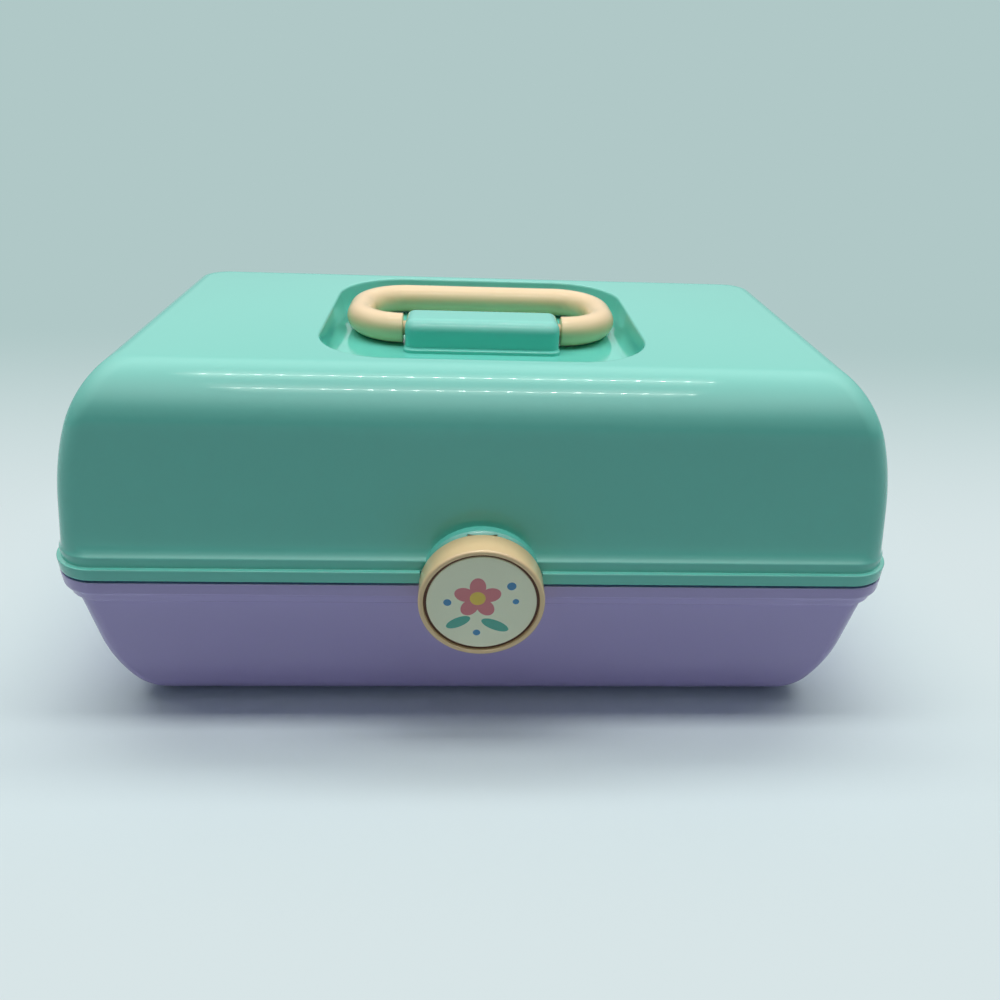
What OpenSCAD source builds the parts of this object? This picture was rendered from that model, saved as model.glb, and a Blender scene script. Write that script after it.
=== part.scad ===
// Vanity case with a folding carry handle, a round flip latch, and two trays that fan out
// with the lid.  Millimetres, +Z up, width along X, front towards -Y.
// The origin is on the floor, under the middle of the case.

/* [Case] */
// Width over the rims
case_w = 325; // [300:1:360]
// Depth over the rims
case_d = 178; // [172:1:200]
// Height of the closed case
case_h = 147; // [144:1:160]
// Height of the top edge of the base
base_top = 67.6; // [66:0.2:72]
// Dark gap between the two rims
seam_gap = 1; // [0.6:0.1:1.6]
// Thickness of the moulded walls
wall = 2.5; // [2:0.1:3]
// Corner radius of the rims, seen from above
rim_r = 18; // [15:1:24]
// Corner radius of the two bodies, seen from above
body_r = 9; // [8:0.5:13]
// How far the rims stand out past the bodies
rim_over = 4.8; // [4:0.2:6]

/* [Lid shape] */
// Lean of the lid's end walls, run over rise
end_draft = 0.136; // [0.08:0.004:0.16]
// Height of the big curve at the lid's ends
end_rise = 50; // [40:1:54]
// Width of the big curve at the lid's ends
end_run = 20; // [14:1:24]
// Lean of the lid's front and back walls
front_draft = 0.073; // [0.04:0.003:0.1]
// Height of the curve along the lid's long top edges
front_rise = 21; // [17:0.5:25]
// Width of the curve along the lid's long top edges
front_run = 18; // [15:0.2:19]

/* [Base shape] */
// Lean of the base's end walls
base_end_draft = 0.103; // [0.06:0.003:0.14]
// Height of the big curve under the base's ends
base_end_rise = 33; // [26:1:40]
// Width of the big curve under the base's ends
base_end_run = 22; // [16:1:26]
// Lean of the base's front and back walls
base_front_draft = 0.124; // [0.08:0.004:0.15]
// Height of the curve along the base's long lower edges
base_front_rise = 11.4; // [9:0.2:14]
// Width of the curve along the base's long lower edges
base_front_run = 11.4; // [9:0.2:14]
// Depth of the rim band on the base
base_rim_h = 10.2; // [9:0.2:12]

/* [Handle] */
// Diameter of the handle's round bar
grip_d = 12.2; // [11:0.2:13]
// Width over the handle's two bends
grip_w = 118; // [110:1:122]
// Reach from the pivot to the far bar, centre to centre
grip_reach = 46.4; // [42:0.2:48]
// How far the handle's pivot lies in front of the middle
grip_front = 7; // [4:0.5:9]
// Width of the block that holds the handle
block_w = 64; // [58:1:68]
// Depth of that block
block_d = 21; // [20:0.5:24]
// Height of that block above the recess floor
block_h = 12.8; // [12.6:0.1:14]
// Diameter of the handle's two pivot pins
grip_pin_d = 6; // [5:0.2:7]
// Depth of the recess round the handle
recess_depth = 11; // [10:0.5:12]
// Width of the recess
recess_w = 128; // [126:1:136]
// Distance from the recess's middle to its front and back edges
recess_half_d = 58; // [56:0.5:60]
// Corner radius of the recess
recess_r = 29; // [24:1:34]

/* [Latch] */
// Diameter of the round latch
latch_d = 47.2; // [44:0.2:50]
// Depth of the latch from front to back
latch_depth = 11.4; // [10:0.2:13]
// Diameter of the disc set into the latch
disc_d = 40.8; // [38:0.2:42]
// Thickness of that disc
disc_t = 1.8; // [1.4:0.1:2.2]
// Diameter of the latch's pivot pin
latch_pin_d = 2; // [1.6:0.1:2.2]

/* [Hinge] */
// Diameter of the hinge barrels
barrel_d = 8; // [7:0.2:8.4]
// Diameter of the hinge pins
hinge_pin_d = 3; // [2.4:0.1:3.4]
// Length of one hinge knuckle
knuckle_l = 12; // [10:0.5:16]
// Distance of each hinge from the middle
hinge_x = 84; // [60:1:110]

/* [Trays] */
// Room between the trays' ends and the line of the rims, for the arms
side_room = 24; // [23.5:0.5:34]
// Depth of both trays
tray_d = 106; // [94:1:108]
// Height of the lower tray
lower_tray_h = 24; // [20:0.5:24]
// Height of the upper tray
upper_tray_h = 27; // [22:0.5:32]
// Thickness of the tray walls
tray_wall = 1.6; // [1.4:0.1:2]
// Height of the lower tray's floor above the table
tray_z = 42; // [40:0.5:43]
// Gap between the stacked trays
tray_gap = 0.8; // [0.6:0.1:1]

/* [Tray arms] */
// Reach of an arm to the lower tray's pivot; the upper tray's is twice as far
arm_step = 45; // [42:0.5:46]
// Slope of the arms at rest, in degrees
arm_slope = 13; // [12.5:0.1:13.5]
// Width of an arm
arm_w = 8.4; // [7.4:0.1:8.6]
// Thickness of an arm or link
arm_t = 2; // [1.6:0.1:2.4]
// Diameter of the rivets that the arms turn on
rivet_d = 4; // [3:0.1:4.4]
// Diameter of the rivets' heads
rivet_head_d = 6.8; // [6:0.1:7.2]
// Distance between the front and rear arms' pivots
arm_pitch = 47; // [46:0.5:50]

/* [Mirror] */
// Width of the mirror
mirror_w = 196; // [150:1:200]
// Depth of the mirror
mirror_d = 98; // [80:1:102]
// Thickness of the mirror
mirror_t = 2; // [1.6:0.1:2.4]
// Thickness of the mirror's frame
frame_t = 5; // [4.6:0.1:5.4]

/* [Hidden] */

mint = "#97dcca";
lavender = "#b9aee6";
peach = "#ecd0a0";
cream = "#eef0dc";
steel = "#c3c6c9";
tray_white = "#e9e6f4";

$fn = 48;
eps = 0.01;
fit = 0.05;          // radial clearance of a pin in its bore
screw_d = 3;         // shank of the screws
screw_head_d = 6.3;
screw_head_h = 1.7;
clear = 0.3;         // clearance between pieces that lie on or beside each other
corner_n = 6;        // steps in each corner of the big shells

// Levels of the closed case.
lid_bottom = base_top + seam_gap;
lip_h = 4.9;                              // height of the lid's lip
band_h = 4;                               // height of the set-back band over the lip
band_in = 1.7;                            // how far that band is set back
flare_h = 7;                              // height of the flare under the lid's body
lid_start = lid_bottom + lip_h + band_h + flare_h;
half_w = case_w / 2;
half_d = case_d / 2;
rim_bottom = base_top - base_rim_h;
base_over = 5.4;                          // how far the base's rim stands out past its body
rim_soft = 0.5;                           // rounding of the rims' edges

// Hinge at the back.
hinge_y = half_d + barrel_d / 2 + 0.5;
hinge_z = base_top + 0.4;

// ---- outlines of the two bodies ----------------------------------------------------

// The drop of a quarter ellipse, 0 at t = 0 and 1 at t = 1.
function quarter(t) = 1 - sqrt(1 - pow(min(max(t, 0), 1), 2));

// Half width and half depth of the lid's body at a height, set in by a wall.
function lid_half_w(z, in = 0) = half_w - rim_over - in - end_draft * (z - lid_start)
    - (end_run - in) * quarter((z - (case_h - end_rise)) / (end_rise - in));
function lid_half_d(z, in = 0) = half_d - rim_over - in - front_draft * (z - lid_start)
    - (front_run - in) * quarter((z - (case_h - front_rise)) / (front_rise - in));

// The same for the base, whose curves are at the bottom.
function base_half_w(z, in = 0) = half_w - base_over - in - base_end_draft * (rim_bottom - z)
    - (base_end_run - in) * quarter((base_end_rise - z) / (base_end_rise - in));
function base_half_d(z, in = 0) = half_d - base_over - in - base_front_draft * (rim_bottom - z)
    - (base_front_run - in) * quarter((base_front_rise - z) / (base_front_rise - in));

// A ring is [half width, half depth, corner radius, height].
function ring_points(ring, n) = [for (q = [0 : 3]) for (i = [0 : n])
    let (a = 90 * (q + i / n), r = ring[2],
         sx = q == 0 || q == 3 ? 1 : -1, sy = q < 2 ? 1 : -1)
    [sx * (ring[0] - r) + r * cos(a), sy * (ring[1] - r) + r * sin(a), ring[3]]];

// A closed solid through rings, from the lowest to the highest.
module loft(rings, n = corner_n) {
    m = 4 * (n + 1);
    top = (len(rings) - 1) * m;
    polyhedron(
        points = [for (ring = rings) each ring_points(ring, n)],
        faces = concat(
            [[for (i = [0 : m - 1]) i]],
            [[for (i = [m - 1 : -1 : 0]) top + i]],
            [for (k = [0 : len(rings) - 2]) for (i = [0 : m - 1])
                let (j = (i + 1) % m, lo = k * m, hi = lo + m) each
                [[lo + i, hi + i, hi + j], [lo + i, hi + j, lo + j]]]),
        convexity = 6);
}

// A flat plate with round corners, given by its half sizes.
module plate(hw, hd, r, h) {
    linear_extrude(h) rounded(hw, hd, r);
}
module rounded(hw, hd, r) {
    square([2 * hw, 2 * (hd - r)], center = true);
    square([2 * (hw - r), 2 * hd], center = true);
    for (sx = [-1, 1], sy = [-1, 1]) translate([sx * (hw - r), sy * (hd - r)]) circle(r);
}

// A round bar along X between two places.
module x_bar(x0, x1, y, z, d) {
    translate([min(x0, x1), y, z]) rotate([0, 90, 0]) cylinder(d = d, h = abs(x1 - x0));
}

// A pan-head screw that points up, with its head's seat at the origin.
module screw(l) {
    r = screw_head_d / 2;
    slot = [0.6 * screw_head_d, 0.7, 0.9];
    difference() {
        union() {
            cylinder(d = screw_d, h = l);
            translate([0, 0, -screw_head_h]) rotate_extrude()
                polygon([[0, 0], [r - 0.6, 0], [r, 0.7], [r, screw_head_h], [0, screw_head_h]]);
        }
        for (a = [0, 90]) rotate(a)
            translate([-slot[0] / 2, -slot[1] / 2, -screw_head_h - eps]) cube(slot);
    }
}

// ---- the base ----------------------------------------------------------------------

// Shares of a curve's height at which it has a ring, from its low end.
low_steps = [0, 0.03, 0.12, 0.27, 0.47, 0.72, 1];
high_steps = [0.2, 0.42, 0.68, 1];
function base_heights(low) = concat(
    [for (s = low_steps) low + s * (base_front_rise - low)],
    [for (s = high_steps) base_front_rise + s * (base_end_rise - base_front_rise)]);

tongue_in = 3.7;     // set-in of the locating tongue from the rim's face
tongue_t = 1.5;      // thickness of that tongue
tongue_h = 2;        // how far it stands up

function rim_ring(z, in) = [half_w - in, half_d - in, rim_r - in, z];

module base_rim() {
    loft([rim_ring(rim_bottom - 1.6, base_over + 0.4), rim_ring(rim_bottom, 3.2),
          rim_ring(rim_bottom + 1, 2.1), rim_ring(rim_bottom + 4.2, 1.2),
          rim_ring(rim_bottom + 4.4, 0.6), rim_ring(base_top - 0.9, 0),
          rim_ring(base_top - 0.3, 0.1), rim_ring(base_top, rim_soft)]);
}

module base_body() {
    heights = concat(base_heights(0), [rim_bottom - 1, base_top - 1]);
    loft([for (z = heights) [base_half_w(z), base_half_d(z), body_r, z]]);
}

module base_cavity() {
    mouth = [base_half_w(rim_bottom, wall), base_half_d(rim_bottom, wall), body_r - wall];
    loft(concat(
        [for (z = base_heights(wall)) [base_half_w(z, wall), base_half_d(z, wall),
                                       body_r - wall, z]],
        [concat(mouth, rim_bottom), concat(mouth, base_top + 1)]));
}

// The places of the tray arms' pivots, as [y, z].  The trays meet halfway between the
// heights of their pivots.
tray_seam = tray_z + lower_tray_h + tray_gap / 2;
arm_z = tray_seam - 1.5 * arm_step * sin(arm_slope);
rear_room = 15;                           // from the rear pivot to the base's back wall
rear_pivot = [base_half_d(rim_bottom, wall) - rear_room, arm_z];
front_pivot = [rear_pivot[0] - arm_pitch, arm_z];
function along_arm(p, s) = [p[0] - s * cos(arm_slope), p[1] + s * sin(arm_slope)];
tray_w = case_w - 2 * side_room;
pad_out = 2;                              // from a tray's end wall to the arms
arm_x = tray_w / 2 + pad_out;             // inner face of the arms
link_x = arm_x + arm_t + 0.7;             // inner face of the drive links
post_x = arm_x + arm_t + clear;           // inner face of the base's pivot posts
lid_post_x = link_x + arm_t + clear;      // inner face of the lid's pivot posts
rivet_grip = 5.5;                         // how deep a rivet goes into its post
rivet_head_h = 1;

module pivot_post(x0, x1, p, d) {
    for (s = [-1, 1]) difference() {
        x_bar(s * x0, s * x1, p[0], p[1], d);
        x_bar(s * (x0 - 1), s * (x1 - 1.5), p[0], p[1], rivet_d + 2 * fit);
    }
}

module hinge_bores() {
    for (s = [-1, 1])
        x_bar(s * hinge_x - 1.5 * knuckle_l - 2, s * hinge_x + 1.5 * knuckle_l + 2,
              hinge_y, hinge_z, hinge_pin_d + 2 * fit);
}

// One knuckle with its web; up is 1 on the lid and -1 on the base.
module knuckle(x0, x1, up) {
    web = seam_gap / 2 + 0.1;
    x_bar(x0, x1, hinge_y, hinge_z, barrel_d);
    translate([x0, 0, 0]) rotate([90, 0, 90]) linear_extrude(x1 - x0)
        polygon([[half_d - 1, hinge_z + up * web], [hinge_y, hinge_z + up * web],
                 [hinge_y + barrel_d * 0.34, hinge_z + up * barrel_d * 0.34],
                 [hinge_y - 0.6, hinge_z + up * (barrel_d / 2 + 2.4)],
                 [half_d - 1, hinge_z + up * (barrel_d / 2 + 3.6)]]);
}

keeper_w = 26;
keeper_drop = 3.6;                        // how far the keeper reaches below the rim

module base_shell() {
    color(lavender) difference() {
        union() {
            difference() {
                union() {
                    base_rim();
                    base_body();
                    translate([0, 0, base_top - 1]) difference() {
                        plate(half_w - tongue_in, half_d - tongue_in, rim_r - tongue_in,
                              1 + tongue_h);
                        translate([0, 0, -1]) plate(half_w - tongue_in - tongue_t,
                            half_d - tongue_in - tongue_t, rim_r - tongue_in - tongue_t,
                            3 + tongue_h);
                    }
                    translate([-keeper_w / 2, -half_d, rim_bottom - keeper_drop])
                        cube([keeper_w, base_over + 3, keeper_drop + 6]);
                }
                base_cavity();
            }
            for (p = [front_pivot, rear_pivot])
                pivot_post(post_x, base_half_w(p[1], wall / 2), p, arm_w);
            for (s = [-1, 1], k = [-1, 1])
                knuckle(s * hinge_x + k * knuckle_l - knuckle_l / 2 + clear / 2,
                        s * hinge_x + k * knuckle_l + knuckle_l / 2 - clear / 2, -1);
        }
        hinge_bores();
    }
}

module hinge_pins() {
    color(steel) for (s = [-1, 1])
        x_bar(s * hinge_x - 1.5 * knuckle_l, s * hinge_x + 1.5 * knuckle_l,
              hinge_y, hinge_z, hinge_pin_d);
}

// A rivet from inside the case outwards: its shank from x0 to x1, its head before x0.
module rivet(s, x0, x1, p) {
    x_bar(s * x0, s * x1, p[0], p[1], rivet_d);
    x_bar(s * (x0 - rivet_head_h), s * x0, p[0], p[1], rivet_head_d);
}

module arm_rivets() {
    color(steel) for (s = [-1, 1], p = [front_pivot, rear_pivot])
        rivet(s, arm_x - clear, post_x + rivet_grip, p);
}

// ---- the lid -----------------------------------------------------------------------

lip_in = 3.1;        // thickness of the lid's lip
floor_z = case_h - recess_depth;
tub_gap = 7;                              // from the tub's underside to the mirror frame
frame_z = floor_z - wall - tub_gap;       // lower face of the mirror frame
frame_w = mirror_w + 28;                  // its ends carry the screws
frame_d = mirror_d + 12;
frame_r = 14;
mirror_r = 9.8;                           // corner radius of the glass
mirror_fit = 0.2;                         // room round the glass, and over it
frame_post_d = 8;                         // posts that carry the mirror frame
frame_seat = screw_head_h + clear;        // depth of its screws' counterbores
mirror_screw = [mirror_w / 2 + 7.5, mirror_d / 2 - 8];
frame_screw_l = frame_t + 4;
block_screw_x = 12;
block_screw_in = 6.5;                     // how deep the block's screws go in

function flare_r(in) = rim_r - in - (rim_r - rim_over - body_r)
    * max(0, (in - band_in) / (rim_over - band_in));
function flare_ring(z, in) = [half_w - in, half_d - in, flare_r(in), z];

lid_heights = concat([lid_start], [for (i = [0 : 11]) case_h - end_rise
    + end_rise * sin(90 * i / 11)]);

module lid_outer() {
    band_z = lid_bottom + lip_h;
    flare_z = band_z + band_h;
    loft(concat(
        [rim_ring(lid_bottom, rim_soft), rim_ring(lid_bottom + rim_soft, 0),
         rim_ring(band_z - 0.6, 0), rim_ring(band_z - 0.1, 0.5),
         rim_ring(band_z, band_in), rim_ring(flare_z - 0.1, band_in),
         flare_ring(flare_z + 0.3, band_in + 0.3), flare_ring(flare_z + 1.4, band_in + 1.3),
         flare_ring(flare_z + 3.2, band_in + 2.3)],
        [for (z = lid_heights) [lid_half_w(z), lid_half_d(z), body_r, z]]));
}

module lid_cavity() {
    step_z = lid_bottom + 3;
    top = case_h - wall;
    heights = concat([lid_start], [for (i = [0 : 9]) case_h - end_rise
        + (end_rise - wall) * sin(10 * i)]);
    loft(concat(
        [[half_w - lip_in, half_d - lip_in, rim_r - lip_in, lid_bottom - 1],
         [half_w - lip_in, half_d - lip_in, rim_r - lip_in, step_z],
         [lid_half_w(lid_start, wall), lid_half_d(lid_start, wall), body_r - wall,
          step_z + 0.6]],
        [for (z = heights) [lid_half_w(z, wall), lid_half_d(z, wall), body_r - wall, z]],
        [[lid_half_w(top, wall), lid_half_d(top, wall), body_r - wall, top]]));
}

// The recess for the handle, and the tub that forms its walls inside the lid.
module recess(grow = 0) {
    hw = recess_w / 2 + grow;
    hd = recess_half_d + grow;
    r = recess_r + grow;
    translate([0, 0, -grow]) loft([
        [hw - 6.4, hd - 6.4, r - 6.4, floor_z],
        [hw - 4, hd - 4, r - 4, floor_z + 0.6],
        [hw - 2.2, hd - 2.2, r - 2.2, floor_z + 2.2],
        [hw - 1.2, hd - 1.2, r - 1.2, floor_z + 4.6],
        [hw - 0.4, hd - 0.4, r - 0.4, case_h - 1.8],
        [hw + 0.1, hd + 0.1, r + 0.1, case_h - 0.6],
        [hw + 1, hd + 1, r + 1, case_h],
        [hw + 1, hd + 1, r + 1, case_h + 0.5]]);
}

// The latch and its mounting boss, with their common axis along Y.
latch_z = base_top + 0.1;
latch_y = -half_d - 0.6;                  // back edge of the latch ring
latch_front = latch_y - latch_depth;
boss_d = latch_d - 0.4;
boss_front = -half_d - clear;
lip_stop = 23.2;                          // the lid's lip ends this far from the middle
latch_pivot = [-half_d + 2.7, latch_z + latch_d / 2 - 3.6];
lug_x = 3.6;                              // distance of the latch's two lugs from the middle
lug_w = 3.4;                              // width of a lug
lug_d = 3.6;                              // diameter of a lug's eye
pocket_w = 2 * lug_x + lug_w + 2 * clear;
pin_half = pocket_w / 2 + 2.4;            // half the length of the latch's pin

module boss() {
    bevel = 2.5;
    intersection() {
        translate([0, boss_front, latch_z]) rotate([-90, 0, 0]) union() {
            cylinder(d1 = boss_d - 2 * bevel, d2 = boss_d, h = bevel + eps);
            translate([0, 0, bevel]) cylinder(d = boss_d, h = rim_over + 1);
        }
        translate([-boss_d, -half_d - 5, lid_bottom]) cube([2 * boss_d, 30, boss_d]);
    }
}

module latch_pocket() {
    translate([-pocket_w / 2, boss_front - 1, lid_bottom + 4])
        cube([pocket_w, latch_pivot[0] + lug_d / 2 + clear - boss_front + 1,
              latch_pivot[1] + lug_d / 2 + clear - lid_bottom - 4]);
}

module lid_shell() {
    color(mint) difference() {
        union() {
            difference() {
                union() {
                    difference() {
                        lid_outer();
                        translate([-lip_stop, -half_d - 1, lid_bottom - 1])
                            cube([2 * lip_stop, 1 + band_in, 1 + lip_h + 0.1]);
                    }
                    boss();
                }
                difference() {
                    lid_cavity();
                    recess(wall);
                    for (sx = [-1, 1], sy = [-1, 1])
                        translate([sx * mirror_screw[0], sy * mirror_screw[1],
                                   frame_z + frame_t])
                            cylinder(d = frame_post_d, h = case_h);
                }
            }
            pivot_post(lid_post_x, lid_half_w(lid_start, wall / 2), lid_link_pivot, arm_w);
            for (s = [-1, 1])
                knuckle(s * hinge_x - knuckle_l / 2 + clear / 2,
                        s * hinge_x + knuckle_l / 2 - clear / 2, 1);
        }
        recess();
        hinge_bores();
        latch_pocket();
        x_bar(-pin_half - fit, pin_half + fit, latch_pivot[0], latch_pivot[1],
              latch_pin_d + 2 * fit);
        for (sx = [-1, 1], sy = [-1, 1])
            translate([sx * mirror_screw[0], sy * mirror_screw[1], frame_z])
                cylinder(d = screw_d + 2 * fit, h = frame_screw_l + frame_t);
        for (sx = [-1, 1])
            translate([sx * block_screw_x, -block_mid, floor_z - wall - 1])
                cylinder(d = screw_d + 2 * fit, h = wall + 2);
    }
}

module latch_pin() {
    color(steel) x_bar(-pin_half, pin_half, latch_pivot[0], latch_pivot[1], latch_pin_d);
}

// The drive links join the lid to the rear arms; they stay parallel to the line from the
// rear arms' pivot to the hinge.
lid_link_pivot = along_arm([hinge_y, hinge_z], arm_step);

module link_rivets() {
    color(steel) for (s = [-1, 1])
        rivet(s, link_x - clear, lid_post_x + rivet_grip, lid_link_pivot);
}

// ---- the handle --------------------------------------------------------------------

grip_y = -grip_front;
grip_z = floor_z + grip_d / 2 + clear;
block_mid = grip_front + 1.5;             // middle of the block, in front of the centre
grip_pin_in = 8;                          // depth of a pin in the block, and in the bar
grip_end = block_w / 2 + 1.2;             // where the bar ends beside the block
foot = [block_w / 2 + 0.6, block_d / 2 + 2.4];      // half sizes of the block's foot
foot_h = 1.6;
grip_bend = min(grip_reach / 2, grip_w / 2 - grip_d / 2 - grip_end - 0.4);

// The block's ends and long top edges are round, and it stands on a low foot.
module handle_block() {
    r = 5;
    end_r = 4;
    end_z = floor_z + block_h - end_r;
    color(mint) difference() {
        union() {
            intersection() {
                translate([-block_w / 2, 0, 0]) rotate([90, 0, 90]) linear_extrude(block_w)
                    translate([-block_mid, 0]) union() {
                        translate([-block_d / 2, floor_z]) square([block_d, block_h - r]);
                        translate([-block_d / 2 + r, floor_z])
                            square([block_d - 2 * r, block_h]);
                        for (s = [-1, 1]) translate([s * (block_d / 2 - r),
                                                     floor_z + block_h - r]) circle(r);
                    }
                translate([0, -block_mid, 0]) loft(concat(
                    [[block_w / 2, block_d / 2, end_r, floor_z]],
                    [for (a = [0 : 15 : 90]) [block_w / 2 - end_r * (1 - cos(a)), block_d / 2,
                                              end_r, end_z + end_r * sin(a)]]));
            }
            translate([0, -block_mid, floor_z]) loft([
                [foot[0], foot[1], end_r, 0], [foot[0], foot[1], end_r, foot_h - 0.7],
                [foot[0] - 0.2, foot[1] - 0.2, end_r, foot_h - 0.3],
                [foot[0] - 0.6, foot[1] - 0.8, end_r, foot_h]]);
        }
        for (s = [-1, 1])
            x_bar(s * (block_w / 2 - grip_pin_in - 1), s * (block_w / 2 + 1), grip_y, grip_z,
                  grip_pin_d + 2 * fit);
        for (s = [-1, 1]) translate([s * block_screw_x, -block_mid, floor_z - 1])
            cylinder(d = screw_d, h = block_screw_in + 1.3);
    }
}

module handle_block_screws() {
    color(steel) for (s = [-1, 1]) translate([s * block_screw_x, -block_mid, floor_z - wall])
        screw(wall + block_screw_in);
}

// The handle lies folded back: a round bar bent into a long loop that is open at the front.
module handle() {
    mid = grip_w / 2 - grip_d / 2 - grip_bend;
    far_y = grip_y + grip_reach;
    color(peach) difference() {
        union() {
            for (s = [-1, 1]) {
                for (end = [[grip_y + grip_bend, -90], [far_y - grip_bend, 0]])
                    translate([s * mid, end[0], grip_z]) mirror([s < 0 ? 1 : 0, 0, 0])
                        rotate(end[1]) rotate_extrude(angle = 90)
                            translate([grip_bend, 0]) circle(d = grip_d);
                if (far_y - grip_y > 2 * grip_bend)
                    translate([s * (mid + grip_bend), grip_y + grip_bend, grip_z])
                        rotate([-90, 0, 0]) cylinder(d = grip_d, h = grip_reach - 2 * grip_bend);
                x_bar(s * mid, s * grip_end, grip_y, grip_z, grip_d);
            }
            x_bar(-mid, mid, far_y, grip_z, grip_d);
        }
        for (s = [-1, 1])
            x_bar(s * (grip_end - 1), s * (grip_end + grip_pin_in + 0.3), grip_y, grip_z,
                  grip_pin_d);
    }
}

module handle_pins() {
    color(peach) for (s = [-1, 1])
        x_bar(s * (block_w / 2 - grip_pin_in), s * (grip_end + grip_pin_in), grip_y, grip_z,
              grip_pin_d);
}

// ---- the mirror --------------------------------------------------------------------

module mirror_frame() {
    color(mint) difference() {
        translate([0, 0, frame_z]) plate(frame_w / 2, frame_d / 2, frame_r, frame_t);
        translate([0, 0, frame_z - 1])
            plate(mirror_w / 2 + mirror_fit, mirror_d / 2 + mirror_fit, mirror_r + mirror_fit,
                  1 + mirror_t + 0.3);
        for (sx = [-1, 1], sy = [-1, 1])
            translate([sx * mirror_screw[0], sy * mirror_screw[1], frame_z - 1]) {
                cylinder(d = screw_d + 0.4, h = frame_t + 2);
                cylinder(d = screw_head_d + 2 * clear, h = 1 + frame_seat);
            }
    }
}

module mirror_frame_screws() {
    color(steel) for (sx = [-1, 1], sy = [-1, 1])
        translate([sx * mirror_screw[0], sy * mirror_screw[1], frame_z + frame_seat])
            screw(frame_screw_l);
}

module mirror_glass() {
    color("#dfe8ea") translate([0, 0, frame_z + mirror_fit])
        plate(mirror_w / 2, mirror_d / 2, mirror_r, mirror_t);
}

// ---- the latch ---------------------------------------------------------------------

module latch_ring() {
    r = latch_d / 2;
    seat = disc_d / 2 + 0.4;
    floor_y = disc_t + 0.9;               // depth of the disc's seat behind the front
    plate_t = 2.4;
    color(peach) difference() {
        union() {
            translate([0, latch_front, latch_z]) rotate([-90, 0, 0]) rotate_extrude($fn = 96)
                polygon([[0, floor_y], [seat, floor_y], [seat, 1], [seat + 0.4, 0.25],
                         [seat + 1, 0], [r - 1.3, 0], [r - 0.5, 0.3], [r - 0.1, 0.9],
                         [r, 1.6], [r, latch_depth - 1], [r - 1, latch_depth],
                         [r - 2.6, latch_depth], [r - 2.6, floor_y + plate_t],
                         [0, floor_y + plate_t]]);
            for (s = [-1, 1]) lug(s * lug_x - lug_w / 2, latch_front + floor_y + 1);
            hook();
        }
        for (s = [-1, 1])
            x_bar(s * lug_x - lug_w, s * lug_x + lug_w, latch_pivot[0], latch_pivot[1],
                  latch_pin_d + 2 * fit);
    }
}

// A lug hangs from the pivot behind the latch, then runs forward to the latch's plate.
module lug(x, front) {
    r = lug_d / 2;
    drop = 5;
    x_bar(x, x + lug_w, latch_pivot[0], latch_pivot[1], lug_d);
    translate([x, latch_pivot[0], latch_pivot[1]]) rotate([90, 0, 90]) linear_extrude(lug_w)
        polygon([[r - 0.2, 0], [r - 0.2, -drop], [r - 2, -drop - r],
                 [front - latch_pivot[0], -drop - r], [front - latch_pivot[0], -drop + r],
                 [-r - 1, -drop + r], [-r + 0.2, -drop + r + 1], [-r + 0.2, 0]]);
}

// The snap hook at the bottom of the latch; its nose stands just in front of the keeper.
module hook() {
    hook_w = 16;
    nose_top = rim_bottom - keeper_drop - clear;
    y0 = latch_front + disc_t + 1.5;
    translate([-hook_w / 2, 0, 0]) rotate([90, 0, 90]) linear_extrude(hook_w)
        polygon([[y0, nose_top - 2.4], [y0, nose_top], [-half_d - 1.6, nose_top],
                 [-half_d - clear, nose_top - 0.6], [-half_d - clear, nose_top - 1.2],
                 [-half_d - 1.6, nose_top - 2.4]]);
}

module latch_disc() {
    r = disc_d / 2;
    dome = 0.5;
    color(cream) translate([0, latch_front + 0.9, latch_z]) rotate([-90, 0, 0])
        rotate_extrude($fn = 96)
            polygon([[0, disc_t], [r, disc_t], [r, 0.3], [r - 0.3, 0],
                     [r * 0.7, -dome * 0.5], [r * 0.4, -dome * 0.85], [0, -dome]]);
}

// ---- the trays and their arms ------------------------------------------------------

tray_room = 2.4;                          // from the lower tray to the base's front wall
tray_front = tray_room - base_half_d(tray_z, wall);
rivet_in = 2.2;                           // depth of a rivet in a tray's end wall
tray_head_h = 0.8;                        // thickness of those rivets' heads
tray_mid = tray_front + tray_d / 2;
upper_z = tray_z + lower_tray_h + tray_gap;
lower_pivots = [along_arm(front_pivot, arm_step), along_arm(rear_pivot, arm_step)];
upper_pivots = [along_arm(front_pivot, 2 * arm_step), along_arm(rear_pivot, 2 * arm_step)];

// A flat arm with round ends through pivots, drilled at each one.
module strap(s, x0, ends, holes) {
    waist = arm_w - 1;
    difference() {
        union() {
            for (p = ends) x_bar(s * x0, s * (x0 + arm_t), p[0], p[1], arm_w);
            dy = ends[1][0] - ends[0][0];
            dz = ends[1][1] - ends[0][1];
            translate([s > 0 ? x0 : -x0 - arm_t, ends[0][0], ends[0][1]])
                rotate([atan2(dz, dy), 0, 0]) translate([0, 0, -waist / 2])
                    cube([arm_t, norm([dy, dz]), waist]);
        }
        for (p = holes)
            x_bar(s * (x0 - 1), s * (x0 + arm_t + 1), p[0], p[1], rivet_d + 2 * fit);
    }
}

module arm(s, pivot) {
    tips = [pivot, along_arm(pivot, 2 * arm_step)];
    color(tray_white) strap(s, arm_x, tips, [pivot, along_arm(pivot, arm_step), tips[1]]);
}

module front_arm_left() arm(-1, front_pivot);
module front_arm_right() arm(1, front_pivot);
module rear_arm_left() arm(-1, rear_pivot);
module rear_arm_right() arm(1, rear_pivot);

module drive_link(s) {
    ends = [lower_pivots[1], lid_link_pivot];
    color(tray_white) strap(s, link_x, ends, ends);
}
module drive_link_left() drive_link(-1);
module drive_link_right() drive_link(1);

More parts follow.
